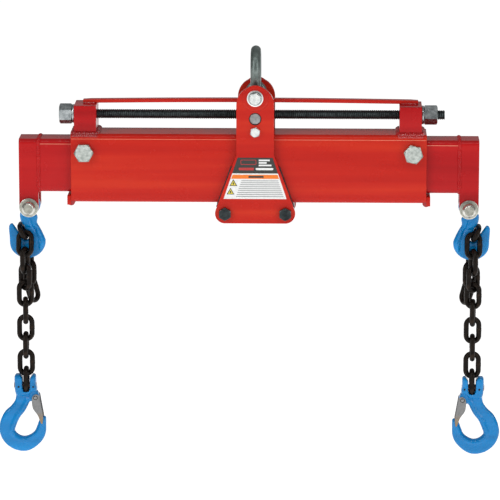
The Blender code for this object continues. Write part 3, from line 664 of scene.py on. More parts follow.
def make_tie_strap():
    """A strap over the screw, bowed a little upwards, with a bead along each side of its ends."""
    low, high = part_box("tie_strap")
    thick, bow, steps = 0.006, 0.0022, 40
    middle_y, half_y = (low.y + high.y) / 2, (high.y - low.y) / 2
    stages = []
    for i in range(steps + 1):
        share = i / steps
        z = low.z + thick / 2 + bow * math.sin(math.pi * share)
        shrink = 0.0006 if i in (0, steps) else 0
        outline = rounded_rectangle(half_y - shrink, thick / 2 - shrink, 0.0012, (middle_y, z), 4)
        stages.append((low.x + (high.x - low.x) * share, outline))
    bm = bmesh.new()
    stack(bm, "X", stages)
    piece("tie_strap_bar", bm, "beam", "red", ["tie_strap"])
    bm = bmesh.new()
    z = low.z + 0.0004
    for side, word in SIDES.items():
        block_low, block_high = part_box(f"screw_block_{word}")
        start, end = max(low.x, block_low.x) + 0.003, min(high.x, block_high.x) - 0.003
        for y in (low.y, high.y):
            bead(bm, [(start, y, z), (end, y, z)], 0.0019, UP, 40 + side + round(900 * y))
    piece("tie_strap_weld", bm, "beam", "weld")


def make_arms():
    """The arms' tubes, each slotted for its bolt, with a clevis welded on the end."""
    wall, corner, seam_r = 0.00635, 0.008, 0.0034
    slot_r, travel = 0.0098, 0.100
    for side, word in SIDES.items():
        body = f"arm_{word}"
        low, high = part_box(f"arm_tube_{word}")
        centre = (0, (low.z + high.z) / 2)
        half_y, half_z = high.y, (high.z - low.z) / 2
        outer = rounded_rectangle(half_y, half_z, corner, centre)
        inner = rounded_rectangle(half_y - wall, half_z - wall, corner - wall, centre)
        outside, inside_end = (low.x, high.x) if side < 0 else (high.x, low.x)
        stages = [(outside, outer), (inside_end, outer), (inside_end, inner)]
        stages.append((outside - side * wall, inner))
        bm = bmesh.new()
        stack(bm, "X", stages)
        arm = piece(f"arm_{word}_tube", bm, body, "deep_red", [f"arm_tube_{word}"])
        bolt = middle(f"arm_bolt_{word}")
        start, end = sorted((bolt.x, bolt.x - side * travel))
        slot = arc((end, bolt.z), slot_r, -90, 90, 16) + arc((start, bolt.z), slot_r, 90, 270, 16)
        carve(arm, slab, slot, (), "Y", -2 * half_y, 2 * half_y)
        soften(arm, 0.0005, 2)
        ends = sorted((outside - side * 0.001, inside_end))
        # thin light lines along the arm's upper corners: painted highlight
        painted_highlight(f"arm_{word}_crease", body, ends, half_y, high.z - corner)
        make_clevis(word, body)
        bm = bmesh.new()
        loop = rounded_rectangle(half_y - 0.0020, half_z - 0.0020, corner - 0.002, centre, 10)
        path = [place("X", outside - side * 0.0002, p) for p in loop]
        bead(bm, path, seam_r, ALONG, 60 + side, closed=True)
        piece(f"arm_{word}_weld", bm, body, "deep_red")


def make_clevis(word, body):
    """A strap bent to an upside-down U on the arm's end, with round ears that hold the bolt."""
    low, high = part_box(f"arm_clevis_{word}")
    x, z = bolt = middle_xz(f"clevis_bolt_{word}")
    ear, corner, root, bore = 0.0095, 0.008, 0.003, 0.00825
    half = (high.x - low.x) / 2
    outline = arc((high.y - corner, high.z - corner), corner, 0, 90, 10)
    outline += arc((corner - high.y, high.z - corner), corner, 90, 180, 10)
    gap_y, crown_z = high.y - ear, high.z - ear
    inner = arc((root - gap_y, crown_z - root), root, 180, 90, 5)
    inner += arc((gap_y - root, crown_z - root), root, 90, 0, 5)
    outline = [(high.y, low.z), *outline, (-high.y, low.z), (-gap_y, low.z), *inner, (gap_y, low.z)]
    bm = bmesh.new()
    slab(bm, outline, (), "X", low.x, high.x)
    clevis = piece(f"arm_{word}_clevis", bm, body, "deep_red", [f"arm_clevis_{word}"])
    through = ((), "Y", -2 * high.y, 2 * high.y)
    for sign in SIDES:
        edge = x + sign * (half + 0.02)
        round_end = arc(bolt, half, 270, 270 + sign * 90, 24)
        carve(clevis, slab, [*round_end, (edge, z), (edge, z - 2 * half), (x, z - 2 * half)], *through)
    carve(clevis, slab, circle(bore, bolt), *through)
    soften(clevis, 0.0009)


# ---------------------------------------------------------------- bolts and the lead screw

BOLT_PROUD = 0.003  # how far a bolt's thread stands out of its nut
SCREW_WASHER_R = 0.0155
SCREW_FLAT = 0.030  # the lead screw's plain length in its first block


def shank(bm, node, under_head, radius, nut, turn, bushes):
    """A bolt's rod with its bushes, its nut and its thread. Returns where the nut starts."""
    end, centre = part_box(node)[1].y, middle_xz(node)
    nut_end = end - BOLT_PROUD
    under_nut = nut_end - nut[1]
    hex_block(bm, "Y", centre, under_nut, nut_end, nut[0], turn, bore=radius)
    for bush_low, bush_high, bush_r in bushes:
        spin(bm, "Y", centre, ring_profile(bush_low, bush_high, bush_r, 0.0004))
    spin(bm, "Y", centre, [(under_head, radius), (under_nut, radius)])
    thread(bm, "Y", centre, under_nut, end, radius, PITCH["bolt"])
    return under_nut


def make_bolt(name, node, body, finish, slot, radius, head, nut, washer=None, bushes=(), turn=30):
    """A bolt along Y with its head in front. head and nut are (across flats, thickness)."""
    start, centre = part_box(node)[0].y, middle_xz(node)
    under_head = start + head[1]
    bm = bmesh.new()
    hex_block(bm, "Y", centre, start, under_head + 0.0001, head[0], turn, (True, False))
    under_nut = shank(bm, node, under_head, radius, nut, turn + 7, bushes)
    # the chamfers and thread take the finish's darker zinc copy as painted shade, or its lighter black copy
    # as a painted highlight
    paint_slope_shading(piece(name, bm, body, finish, [node], 24), "Y", f"{finish}_edge")
    if washer:
        washer_r, thick = washer
        # a thin dark ring round the head's base, in the darker zinc: painted shade where the head meets its
        # washer
        bm = bmesh.new()
        spin(bm, "Y", centre, ring_profile(under_head - 0.0007, under_head, washer_r - 0.0020, 0.0003))
        piece(f"{name}_head_shade_ring", bm, body, "zinc_edge")
        bm = bmesh.new()
        spin(bm, "Y", centre, ring_profile(under_head, under_head + thick, washer_r, 0.0005))
        spin(bm, "Y", centre, ring_profile(under_nut - thick, under_nut, washer_r, 0.0005))
        piece(f"{name}_washers", bm, body, "washer")


def make_beam_bolts():
    """The big bolts that hold the arms, turned as a spanner left them."""
    head, nut = (0.0283, 0.0120), (0.0283, 0.0160)
    for word, turn in (("left", 1), ("right", 48)):
        node = f"arm_bolt_{word}"
        make_bolt(f"{node}_set", node, "beam", "aged_zinc", "zinc", 0.0095, head, nut, turn=turn)


def make_clevis_bolts():
    """Round heads, chamfered, on wide washers, with bushes on both sides of the hook's eye."""
    head, head_r, washer, washer_r, radius, nut = 0.0125, 0.0112, 0.003, 0.016, 0.00795, (0.024, 0.013)
    ear_face, eye_face, bush_r = 0.0185, 0.0096, 0.0135
    bushes = ((-ear_face, -eye_face, bush_r), (eye_face, ear_face, bush_r))
    profile = ((0, 0.0078), (0.0004, 0.0084), (0.0030, 0.0108), (0.0040, head_r), (head, head_r))
    for word in SIDES.values():
        node, body = f"clevis_bolt_{word}", f"arm_{word}"
        start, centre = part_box(node)[0].y, middle_xz(node)
        bm = bmesh.new()
        spin(bm, "Y", centre, [(start + at, r) for at, r in profile])
        under_nut = shank(bm, node, start + head, radius, nut, 18, bushes)
        for at in (start + head, under_nut - washer):
            spin(bm, "Y", centre, ring_profile(at, at + washer, washer_r, 0.0007))
        # a lighter zinc on the heads' chamfers, the washers' rims and the thread: painted highlight
        paint_slope_shading(piece(f"{node}_set", bm, body, "dull_zinc", [node], 24), "Y", "bright_edge")


def make_lead_screw():
    """The drive hex on its washer, and the threaded rod."""
    low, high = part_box("lead_screw")
    centre = (0, (low.z + high.z) / 2)
    radius, hex_length, across_flats = 0.00795, 0.0215, 0.0295
    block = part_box("screw_block_left")[0].x
    flat_end = block + SCREW_FLAT
    bm = bmesh.new()
    hex_block(bm, "X", centre, low.x, low.x + hex_length, across_flats)
    spin(bm, "X", centre, ring_profile(low.x + hex_length, block - GAP, SCREW_WASHER_R, 0.0005))
    # a darker zinc on the hex's chamfers and the washer's rims: painted shade
    paint_slope_shading(piece("drive_hex", bm, "lead_screw", "drive"), "X", "zinc_edge")
    bm = bmesh.new()
    spin(bm, "X", centre, [(block - GAP, 0.0079), (flat_end, 0.0079)])
    thread(bm, "X", centre, flat_end, high.x, radius, PITCH["screw"])
    rod = piece("lead_screw_rod", bm, "lead_screw", "black", ["lead_screw"], 24)
    # a lighter black on the thread's flanks: painted highlight
    paint_slope_shading(rod, "X", "black_edge")


def make_stop_nut():
    """The nut on the screw's free end, on its washer, with a set screw in one flat."""
    low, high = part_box("stop_nut")
    centre = (0, (low.z + high.z) / 2)
    washer, across_flats, bore = 0.0035, 0.028, 0.00825
    start = low.x + washer
    bm = bmesh.new()
    spin(bm, "X", centre, ring_profile(low.x, start, SCREW_WASHER_R, 0.0005))
    hex_block(bm, "X", centre, start, high.x, across_flats, 15, bore=bore)
    nut = piece("stop_nut_set", bm, "lead_screw", "drive", ["stop_nut"], 24)
    # a darker zinc on the nut's chamfers and the washer's rims: painted shade
    paint_slope_shading(nut, "X", "zinc_edge")
    bm = bmesh.new()
    spin(bm, "Z", (0, 0), [(0.0110, 0.0026), (0.01395, 0.0026), (0.01415, 0.0023), (0.0138, 0.0019)], 24)
    angle = math.radians(225)
    turn = Vector((0, math.cos(angle), math.sin(angle))).to_track_quat("Z", "Y").to_matrix().to_4x4()
    hub = Matrix.Translation(((start + high.x) / 2, 0, centre[1]))
    bmesh.ops.transform(bm, matrix=hub @ turn, verts=bm.verts)
    piece("stop_nut_set_screw", bm, "lead_screw", "hole")


# ---------------------------------------------------------------- the carriage

PLATE_LOW, PLATE_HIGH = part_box("carriage_plate_front")
PLATE_CORNER_R = 0.0164
PLATE_HALF = 0.031
PIVOT = middle("pivot_bolt")
SCREW_Z = middle("lead_screw").z
FLARE_Z = TUBE_TOP - 0.0318
PLATE_SLOPE = (PLATE_HIGH.x - PLATE_HALF) / (FLARE_Z - (PLATE_LOW.z + PLATE_CORNER_R))
PLATES = (("front", -1), ("rear", 1))


def plate_outline():
    """Half round at the top, straight sides, then a flare down to two round corners."""
    corner = (PLATE_HIGH.x - PLATE_CORNER_R, PLATE_LOW.z + PLATE_CORNER_R)
    run, drop = corner[0] - PLATE_HALF, FLARE_Z - corner[1]
    slant = math.degrees(math.atan2(run, drop) + math.asin(PLATE_CORNER_R / math.hypot(run, drop)))
    top = arc((0, PLATE_HIGH.z - PLATE_HALF), PLATE_HALF, 0, 180, 60)
    left = [(-PLATE_HALF, FLARE_Z), *arc((-corner[0], corner[1]), PLATE_CORNER_R, 180 - slant, 270, 24)]
    right = [*arc(corner, PLATE_CORNER_R, -90, slant, 24), (PLATE_HALF, FLARE_Z)]
    return top + left + right


def make_plates():
    """The two plates, each with a low boss round the pivot bolt."""
    guide = middle_xz("guide_bolt")
    holes = [circle(0.0065, (0, PIVOT.z)), circle(0.0103, (0, SCREW_Z)), circle(0.0050, (0, guide[1]))]
    holes += [circle(0.0065, middle_xz(f"roller_bolt_{word}")) for word in SIDES.values()]
    boss = ((-0.0020, 0.0215), (0, 0.0215), (0.00044, 0.0212))
    boss += ((0.000935, 0.0202), (0.0011, 0.0188), (0.0011, 0.0150))
    for word, sign in PLATES:
        node = f"carriage_plate_{word}"
        low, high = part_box(node)
        bm = bmesh.new()
        slab(bm, plate_outline(), holes, "Y", low.y, high.y)
        soften(piece(f"{node}_blank", bm, "carriage", "red", [node]), 0.0008)
        face = low.y if sign < 0 else high.y
        bm = bmesh.new()
        spin(bm, "Y", (0, PIVOT.z), [(face + sign * rise, radius) for rise, radius in boss], 72)
        piece(f"pivot_boss_{word}", bm, "carriage", "red")


def make_wear_pads():
    """The thin dark pads at the plates' flares."""
    for word, _ in PLATES:
        node = f"wear_pad_{word}"
        low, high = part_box(node)
        top = high.x - PLATE_SLOPE * (high.z - low.z)
        outline = [(top, high.z), (-top, high.z), (low.x, low.z), (high.x, low.z)]
        bm = bmesh.new()
        slab(bm, outline, (), "Y", low.y, high.y)
        soften(piece(f"{node}_sheet", bm, "carriage", "pad", [node]), 0.0005, 2)


def make_trunnion_nut():
    """A barrel between the plates with a pin through each, and a dark ring round each pin's end as painted
    shade in the gap.
    """
    low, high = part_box("trunnion_nut")
    pin, barrel, half, edge = 0.0089, 0.014, 0.022, 0.0008
    profile = [(low.y, pin - 0.0010), (low.y + edge, pin), (-half, pin), (-half, barrel - edge)]
    profile += [(-half + edge, barrel), (half - edge, barrel), (half, barrel - edge), (half, pin)]
    profile += [(high.y - edge, pin), (high.y, pin - 0.0010)]
    bm = bmesh.new()
    spin(bm, "Y", (0, SCREW_Z), profile)
    nut = piece("trunnion_nut_barrel", bm, "carriage", "steel", ["trunnion_nut"])
    carve(nut, spin, "X", (0, SCREW_Z), [(-0.03, 0.00825), (0.03, 0.00825)])
    # dark rings in the gap between each pin and its plate: painted shade
    outer, inner = 0.0102, pin + 0.0001
    for word, sign in PLATES:
        start, end = sorted((sign * (high.y - 0.0092), sign * (high.y - 0.0012)))
        ring = [(start, outer), (end, outer), (end, inner), (start, inner)]
        bm = bmesh.new()
        spin(bm, "Y", (0, SCREW_Z), ring, closed=True)
        piece(f"trunnion_gap_shade_{word}", bm, "carriage", "hole")


def make_carriage_bolts():
    """The pivot bolt with the shackle's bushes, the guide bolt with its shoulder, the rollers' bolts."""
    plate_in, ear_in, bush_r, shoulder_r = 0.0410, 0.0132, 0.0095, 0.0065
    half_inch = (0.0190, 0.0080), (0.0190, 0.0105)  # its head and nut
    bushes = ((-plate_in, -ear_in, bush_r), (ear_in, plate_in, bush_r))
    shoulder = ((-plate_in, plate_in, shoulder_r),)
    washer = (0.0135, 0.0025)
    for node, finish, slot, *shape in (
        ("pivot_bolt", "zinc", "zinc", 0.00635, (0.0185, 0.0080), half_inch[1], washer, bushes, 12),
        ("guide_bolt", "zinc", "zinc", 0.0048, (0.0150, 0.0064), (0.0150, 0.0080), None, shoulder, 20),
        ("roller_bolt_left", "black", "black_oxide", 0.00635, *half_inch),
        ("roller_bolt_right", "black", "black_oxide", 0.00635, *half_inch),
    ):
        make_bolt(f"{node}_set", node, "carriage", finish, slot, *shape)


def make_rollers():
    """The sleeves on the bolts at the plates' bottom corners."""
    bore, soft = 0.0068, 0.0012
    for word in SIDES.values():
        node = f"roller_{word}"
        low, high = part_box(node)
        outer = (high.x - low.x) / 2
        profile = [(low.y, bore), (low.y, outer - soft), (low.y + soft, outer)]
        profile += [(high.y - soft, outer), (high.y, outer - soft), (high.y, bore)]
        bm = bmesh.new()
        spin(bm, "Y", middle_xz(node), profile, closed=True)
        piece(f"{node}_sleeve", bm, node, "steel", [node])


def make_shackle():
    """A forged bow whose ends flatten into two round ears."""
    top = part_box("shackle")[1].z
    bar, crown, ear_r, bore = 0.0085, 0.030, 0.0175, 0.0099
    ear_y = (0.0135, 0.0295)
    mid = sum(ear_y) / 2
    legs = [(mid, PIVOT.z + 0.004), (mid + 0.0022, PIVOT.z + 0.014), (mid + 0.0052, PIVOT.z + 0.026)]
    bow = arc((0, top - bar - crown), crown, 0, 180, 40)
    path = [(0, a, b) for a, b in legs + bow + [(-a, b) for a, b in reversed(legs)]]
    bm = bmesh.new()
    sweep(bm, path, bar, ALONG, 24)
    for sign in SIDES:
        start, end = sorted(sign * y for y in ear_y)
        spin(bm, "Y", (0, PIVOT.z), ring_profile(start, end, ear_r, 0.0025))
    shackle = piece("shackle_bow", bm, "shackle", "galvanised", ["shackle"])
    remesh = shackle.modifiers.new("forge", "REMESH")
    remesh.mode = "VOXEL"
    remesh.voxel_size = 0.0009
    baked(relax(shackle, 0.5, 8))
    carve(shackle, spin, "Y", (0, PIVOT.z), [(-0.05, bore), (0.05, bore)])


# ---------------------------------------------------------------- the label


def make_label():
    """A plain rating label with no lettering: a dark head, an orange stripe and grey rules on white."""
    top, bottom, margin, layer = FLARE_Z - 0.004, FLARE_Z - 0.073, 0.0035, 0.00012
    face = PLATE_LOW.y
    stripe = top - 0.0285
    second_row = top - 0.0188  # the head's lower row of marks

    def half(z):
        return PLATE_HALF + PLATE_SLOPE * (FLARE_Z - z) * 0.93 - margin

    def box(left, right, high, low):
        return [(left, high), (right, high), (right, low), (left, low)]

    def band(high, low, inset):
        """A strip across the label, as wide as the plate is there."""
        wide, narrow = half(high) - inset, half(low) - inset
        return [(-wide, high), (wide, high), (narrow, low), (-narrow, low)]

    def triangle(x, z, inset):
        foot = 0.0064 - 1.7 * inset
        return [(x - foot, z + inset), (x + foot, z + inset), (x, z + 0.0110 - 1.9 * inset)]

    def ink(name, finish, *shapes):
        """Flat shapes in one ink, each an outline, the layer it reaches and its holes."""
        bm = bmesh.new()
        for outline, level, *holes in shapes:
            slab(bm, outline, holes, "Y", face - layer * level, face)
        piece(f"label_{name}", bm, "carriage", finish)

    ink("sheet", "label_white", (band(top, bottom, 0), 1))
    ink("head", "label_dark", (band(top, top - 0.0262, 0), 2))
    ink("stripe", "label_orange", (band(stripe, stripe - 0.0068, 0.0012), 2))
    rows = [stripe - 0.0095 - 0.0033 * row for row in range(9)]
    ink("rules", "label_grey", *((box(0.0190 - half(z), half(z) - 0.0035, z, z - 0.0011), 2) for z in rows))
    signs = [(0.0088 - half(z), z) for z in (stripe - 0.0188, stripe - 0.0330)]
    borders = [(triangle(x, z, 0), 2) for x, z in signs]
    marks = [(rounded_rectangle(0.0011, 0.0018, 0.0008, (x, z + 0.0042), 3), 4) for x, z in signs]
    dark_bar = box(-0.0110, 0.0140, stripe - 0.0018, stripe - 0.0050)
    ink("borders", "label_dark", *borders, *marks, (dark_bar, 3))
    ink("triangles", "label_yellow", *((triangle(x, z, 0.0011), 3) for x, z in signs))
    starts = [(top - 0.0030 - 0.0042 * row, end) for row, end in enumerate((0.024, 0.019, 0.027))]
    bars = [(box(0.006, end, z, z - 0.0026), 3) for z, end in starts]
    pill = rounded_rectangle(0.0145, 0.0018, 0.0017, (0.0155, second_row), 4)
    ink("head_bars", "label_white", *bars, (pill, 3))
    at = (-0.0110, top - 0.0075)
    emblem = rounded_rectangle(0.0130, 0.0042, 0.0020, at, 5)
    hollow = rounded_rectangle(0.0120, 0.0032, 0.0014, at, 5)
    red_bar = rounded_rectangle(0.0125, 0.0022, 0.0010, (-0.0145, second_row), 4)
    ink("head_marks", "label_red", (emblem, 3, hollow), (red_bar, 3))


# ---------------------------------------------------------------- forged hooks


def inside(points, outline):
    """Which points lie in a polygon."""
    a = np.asarray(outline)
    b = np.roll(a, -1, axis=0)
    x, y = points[:, 0, None], points[:, 1, None]
    crosses = (a[:, 1] > y) != (b[:, 1] > y)
    rise = np.where(b[:, 1] == a[:, 1], 1e-12, b[:, 1] - a[:, 1])
    at = a[:, 0] + (y - a[:, 1]) * (b[:, 0] - a[:, 0]) / rise
    return (crosses & (x < at)).sum(axis=1) % 2 == 1


def distance(points, outline, closed=True):
    """Each point's distance to a polygon's edge or to an open line."""
    a = np.asarray(outline)
    b = np.roll(a, -1, axis=0) if closed else a[1:]
    a = a if closed else a[:-1]
    span = b - a
    away = points[:, None, :] - a
    share = np.clip((away * span).sum(2) / np.maximum((span * span).sum(1), 1e-18), 0, 1)
    return np.linalg.norm(away - share[..., None] * span, axis=2).min(axis=1)


def over(points, outline):
    """How far each point is from an outline's edge, and which points it holds."""
    edge = distance(points, outline)
    return edge, inside(points, outline) | (edge < 1e-6)


def dome(depth, radius, edge):
    """A rounded side: edge at the rim, 1 from radius inwards."""
    inward = np.clip(depth / radius, 0, 1)
    return edge + (1 - edge) * np.sqrt(1 - (1 - inward) ** 2)


def soft_max(layers, blend):
    """The highest layer at each point, with a fillet where two cross."""
    total = sum(np.exp(layer / blend) for layer in layers)
    return np.minimum(blend * np.log(total), np.max(layers, axis=0) + 0.4 * blend)


def forge(bm, outlines, cuts, height, mid_y):
    """A body symmetric about mid_y, over outlines less cuts. height gives its half thickness at points."""
    step, row = 0.0011, 0.87  # between points, and between their rows as a share of that
    loops = outlines + cuts
    corners = np.array([p for loop in loops for p in loop])
    low, high = corners.min(axis=0), corners.max(axis=0)
    columns, rows = (int(reach / unit) + 1 for reach, unit in zip(high - low, (step, row * step)))
    grid = [
        (low[0] + step * (i + 0.5 * (j % 2)), low[1] + step * row * j)
        for i in range(columns)
        for j in range(rows)
    ]
    grid = np.array(grid)
    clear = np.ones(len(grid), bool)
    for loop in loops:
        clear &= distance(grid, loop) > 0.55 * step

    def kept(points):
        solid = np.zeros(len(points), bool)
        for outline in outlines:
            solid |= inside(points, outline)
        for cut in cuts:
            solid &= ~inside(points, cut)
        return solid

    grid = grid[clear & kept(grid)]
    points = [Vector(p) for p in np.concatenate([corners, grid])]
    edges, start = [], 0
    for loop in loops:
        edges += [(start + i, start + (i + 1) % len(loop)) for i in range(len(loop))]
        start += len(loop)
    points, _, faces, *_ = delaunay_2d_cdt(points, edges, [], 0, 1e-7)
    flat = np.array([tuple(p) for p in points])
    faces = np.array([face for face in faces if len(face) == 3])
    faces = faces[kept(flat[faces].mean(axis=1))]
    half = height(flat)
    used = sorted(set(faces.ravel()))
    front = {i: bm.verts.new((flat[i][0], mid_y - half[i], flat[i][1])) for i in used}
    rear = {i: bm.verts.new((flat[i][0], mid_y + half[i], flat[i][1])) for i in used}
    borders = {}
    for a, b, c in faces:
        bm.faces.new((front[a], front[b], front[c]))
        bm.faces.new((rear[a], rear[c], rear[b]))
        for edge in ((a, b), (b, c), (c, a)):
            borders[tuple(sorted(edge))] = borders.get(tuple(sorted(edge)), 0) + 1
    for (a, b), count in borders.items():
        if count == 1:
            bm.faces.new((front[a], front[b], rear[b], rear[a]))


def out_and_up(points, side, centre):
    """Points given outwards and up from a centre, placed on the left (-1) or right (1)."""
    return [(centre[0] + side * a, centre[1] + b) for a, b in points]


def drawn(points, side, centre):
    """A smooth outline through points given outwards and up from a centre."""
    return smooth_outline(out_and_up(points, side, centre), 0.001)


GRAB_BACK = [
    (-0.010, -0.018), (-0.011, -0.031), (-0.017, -0.042), (-0.023, -0.055), (-0.025, -0.062),
    (-0.0235, -0.071), (-0.019, -0.079), (-0.012, -0.0855), (-0.002, -0.090), (0.010, -0.091),
]
GRAB_FRONT = [
    (0.019, -0.0885), (0.027, -0.083), (0.0325, -0.076), (0.035, -0.067), (0.0355, -0.055),
    (0.0365, -0.040), (0.0350, -0.0345), (0.0320, -0.0325), (0.0285, -0.0345),
]
GRAB_SEAT = (0.0086, -0.0545)  # the middle of the held link's wire
GRAB_TILT = 25
GRAB_NECK = [(0.0116, -0.036), (0.0172, -0.025), (0.0150, -0.012)]
GRAB_SHANK = [
    (-0.0095, -0.005), (-0.0105, -0.031), (-0.0150, -0.0390), (0.0100, -0.0370), (0.0168, -0.025),
    (0.0145, -0.005),
]
GRAB_RIB = [
    (-0.0135, -0.0370), (-0.0210, -0.0530), (-0.0235, -0.0625), (-0.0215, -0.0710), (-0.0165, -0.0780),
    (-0.0130, -0.0740), (-0.0120, -0.0600), (-0.0080, -0.0430),
]
GRAB_FLUTE = [
    (-0.0010, -0.0220), (-0.0045, -0.0330), (-0.0105, -0.0450), (-0.0165, -0.0560), (-0.0185, -0.0610),
    (-0.0165, -0.0640), (-0.0135, -0.0610), (-0.0065, -0.0460), (0.0015, -0.0330), (0.0040, -0.0230),
]


def grab_outline():
    """The side of the hook, outwards and up from its bolt, with a slanted slot for one link."""
    wire = 0.00435
    slot_r = wire + 0.0007
    floor = slot_r - wire - GAP
    tilt = math.radians(GRAB_TILT)
    bottom = (GRAB_SEAT[0] - floor * math.sin(tilt), GRAB_SEAT[1] - floor * math.cos(tilt))
    slot = arc(bottom, slot_r, -GRAB_TILT, -GRAB_TILT - 180, 8)
    return GRAB_BACK + GRAB_FRONT + slot + GRAB_NECK


def make_grab_hooks():
    """The shortening hooks: a flat body with a round eye, a thick shank, a rib and a flute down its side."""
    eye_half, flute_depth = 0.0088, 0.0018
    for side, word in SIDES.items():
        node = f"grab_hook_{word}"
        centre = middle_xz(f"clevis_bolt_{word}")
        eye, hole = circle(0.017, centre, 64), circle(0.00825, centre, 40)
        body, shank, rib, flute = (
            drawn(points, side, centre) for points in (grab_outline(), GRAB_SHANK, GRAB_RIB, GRAB_FLUTE)
        )

        def height(points):
            layers = []
            for outline, half, radius, edge in (
                (body, 0.0045, 0.0036, 0.42),
                (eye, eye_half, 0.0050, 0.40),
                (shank, 0.0080, 0.0065, 0.10),
                (rib, 0.0076, 0.0058, 0.10),
            ):
                depth, held = over(points, outline)
                layers.append(np.where(held, half * dome(depth, radius, edge), 0.0))
            sunk = np.where(inside(points, flute), np.clip(distance(points, flute) / 0.0022, 0, 1), 0)
            total = soft_max(layers, 0.0005) - flute_depth * sunk * sunk * (3 - 2 * sunk)
            return np.minimum(total, eye_half * dome(distance(points, hole), 0.0012, 0.86))

        bm = bmesh.new()
        forge(bm, [body, eye], [hole], height, 0.0)
        relax(piece(f"{node}_forging", bm, node, "blue", [node], 60), 0.4, 2)


SLING_REACH, SLING_DROP = 0.0326, 0.1144  # the hook's box beyond its load pin, on the tip's side and below
SLING_BACK = [
    (-0.0160, -0.008), (-0.0180, -0.019), (-0.0200, -0.027), (-0.0265, -0.036), (-0.036, -0.045),
    (-0.042, -0.055), (-0.0455, -0.065), (-0.047, -0.076), (-0.045, -0.086), (-0.041, -0.095),
]
SLING_BOWL = [
    (-0.034, -0.1035), (-0.0245, -0.110), (-0.0165, -0.1130), (-0.008, -SLING_DROP), (0.002, -0.1134),
    (0.012, -0.1085), (0.022, -0.100), (0.0286, -0.091), (0.032, -0.081), (SLING_REACH, -0.070),
]
SLING_TIP = [(SLING_REACH, -0.057), (0.0306, -0.0538), (0.0276, -0.0538)]
SLING_THROAT = [
    (0.021, -0.060), (0.017, -0.070), (0.013, -0.079), (0.006, -0.085), (-0.003, -0.0884),
    (-0.011, -0.087), (-0.017, -0.083), (-0.020, -0.078), (-0.018, -0.071), (-0.014, -0.061),
    (-0.010, -0.054), (-0.003, -0.045), (0.002, -0.036), (0.006, -0.0285),
]
SLING_LUG = [(0.0155, -0.0255), (0.0200, -0.0235), (0.0215, -0.0190), (0.0200, -0.0140), (0.0150, -0.0080)]
SLING_HALF = 0.009
SLING_HEAD_HALF = 0.013
LOAD_PIN_R = 0.0055
LATCH_RIVET = (0.0155, -0.020)


def sling_head():
    """The outline of the two ears astride the chain, towards the opening and up from the load pin."""
    top = arc((0.0120, 0.0145), 0.0045, 0, 90, 8) + arc((-0.0155, 0.0145), 0.0045, 90, 180, 8)
    return [(0.0160, -0.011), (0.0165, 0.005), *top, (-0.0200, 0.005), (-0.0185, -0.012), (-0.010, -0.018)]


def sling_slot():
    """The gap between the ears, with a round floor and a bevelled mouth."""
    slot, mouth = 0.006, 0.0112
    bevel = [(slot, 0.0138), (mouth, 0.019), (mouth, 0.030)]
    return [(-a, b) for a, b in reversed(bevel)] + arc((0, -0.0028), slot, 180, 360, 14) + bevel


def load_pin(word):
    """The middle of a sling hook's load pin, which its hinge turns on."""
    low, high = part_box(f"sling_hook_{word}")
    x = high.x - SLING_REACH if word == "left" else low.x + SLING_REACH
    return Vector((x, (low.y + high.y) / 2, low.z + SLING_DROP))


def sling_forging(node, pin, toward):
    """A flanged bowl with a rounded rim along its throat, two ears and a lug for the latch."""
    centre = (pin.x, pin.z)
    body = drawn(SLING_BACK + SLING_BOWL + SLING_TIP + SLING_THROAT + SLING_LUG, toward, centre)
    head = drawn(sling_head(), toward, centre)
    slot, throat, (rivet,) = (
        out_and_up(points, toward, centre) for points in (sling_slot(), SLING_THROAT, [LATCH_RIVET])
    )

    def height(points):
        edge, within = over(points, body)
        flange = np.where(within, 0.0063 * dome(edge, 0.0060, 0.30), 0)
        across = np.clip((distance(points, throat, closed=False) - 0.0052) / 0.0068, -1, 1)
        rim = np.where(within, 0.0087 * np.sqrt(1 - across**2) * dome(edge, 0.0050, 0.25), 0)
        head_edge, on_head = over(points, head)
        ears = np.where(on_head, SLING_HEAD_HALF * 0.985 * dome(head_edge, 0.0055, 0.45), 0)
        near = np.linalg.norm(points - np.array(rivet), axis=1)
        lug = np.where(within & (near < 0.010), 0.0086 * dome(edge, 0.0022, 0.7), 0)
        total = soft_max([flange, rim, ears, lug], 0.0007)
        total = np.minimum(total, SLING_HEAD_HALF * dome(distance(points, slot), 0.0022, 0.80))
        return np.where(near < 0.0122, np.minimum(total, SLING_HALF - 0.0002), total)

    bm = bmesh.new()
    forge(bm, [body, head], [slot, circle(0.0025, rivet, 20)], height, pin.y)
    hook = piece(f"{node}_forging", bm, node, "blue", [node], 60)
    baked(relax(hook, 0.4, 2))
    socket_half, socket_r, socket_z = 0.00515, 0.01575, pin.z + 0.00035
    ends = [(pin.x - socket_half, socket_r), (pin.x + socket_half, socket_r)]
    carve(hook, spin, "X", (pin.y, socket_z), ends, sharp=60)


def make_sling_hooks():
    """The hooks, each with its load pin and the two small pins that keep it in."""
    inner, outer, retainer_r, retainer_x = 0.0168, 0.0208, 0.00165, 0.0122
    for side, word in SIDES.items():
        node = f"sling_hook_{word}"
        pin = load_pin(word)
        sling_forging(node, pin, -side)
        low, high = sorted((pin.x - side * inner, pin.x + side * outer))
        bm = bmesh.new()
        spin(bm, "X", (pin.y, pin.z), ring_profile(low, high, LOAD_PIN_R, 0.0012), 32)
        piece(f"load_pin_{word}", bm, node, "rim")
        face = pin.y - SLING_HEAD_HALF
        bm = bmesh.new()
        for sign in SIDES:
            at = (pin.x + sign * retainer_x, pin.z - 0.0007)
            spin(bm, "Y", at, [(face - 0.0001, retainer_r), (face + 0.0030, retainer_r)], 20)
        piece(f"retaining_pins_{word}", bm, node, "hole")


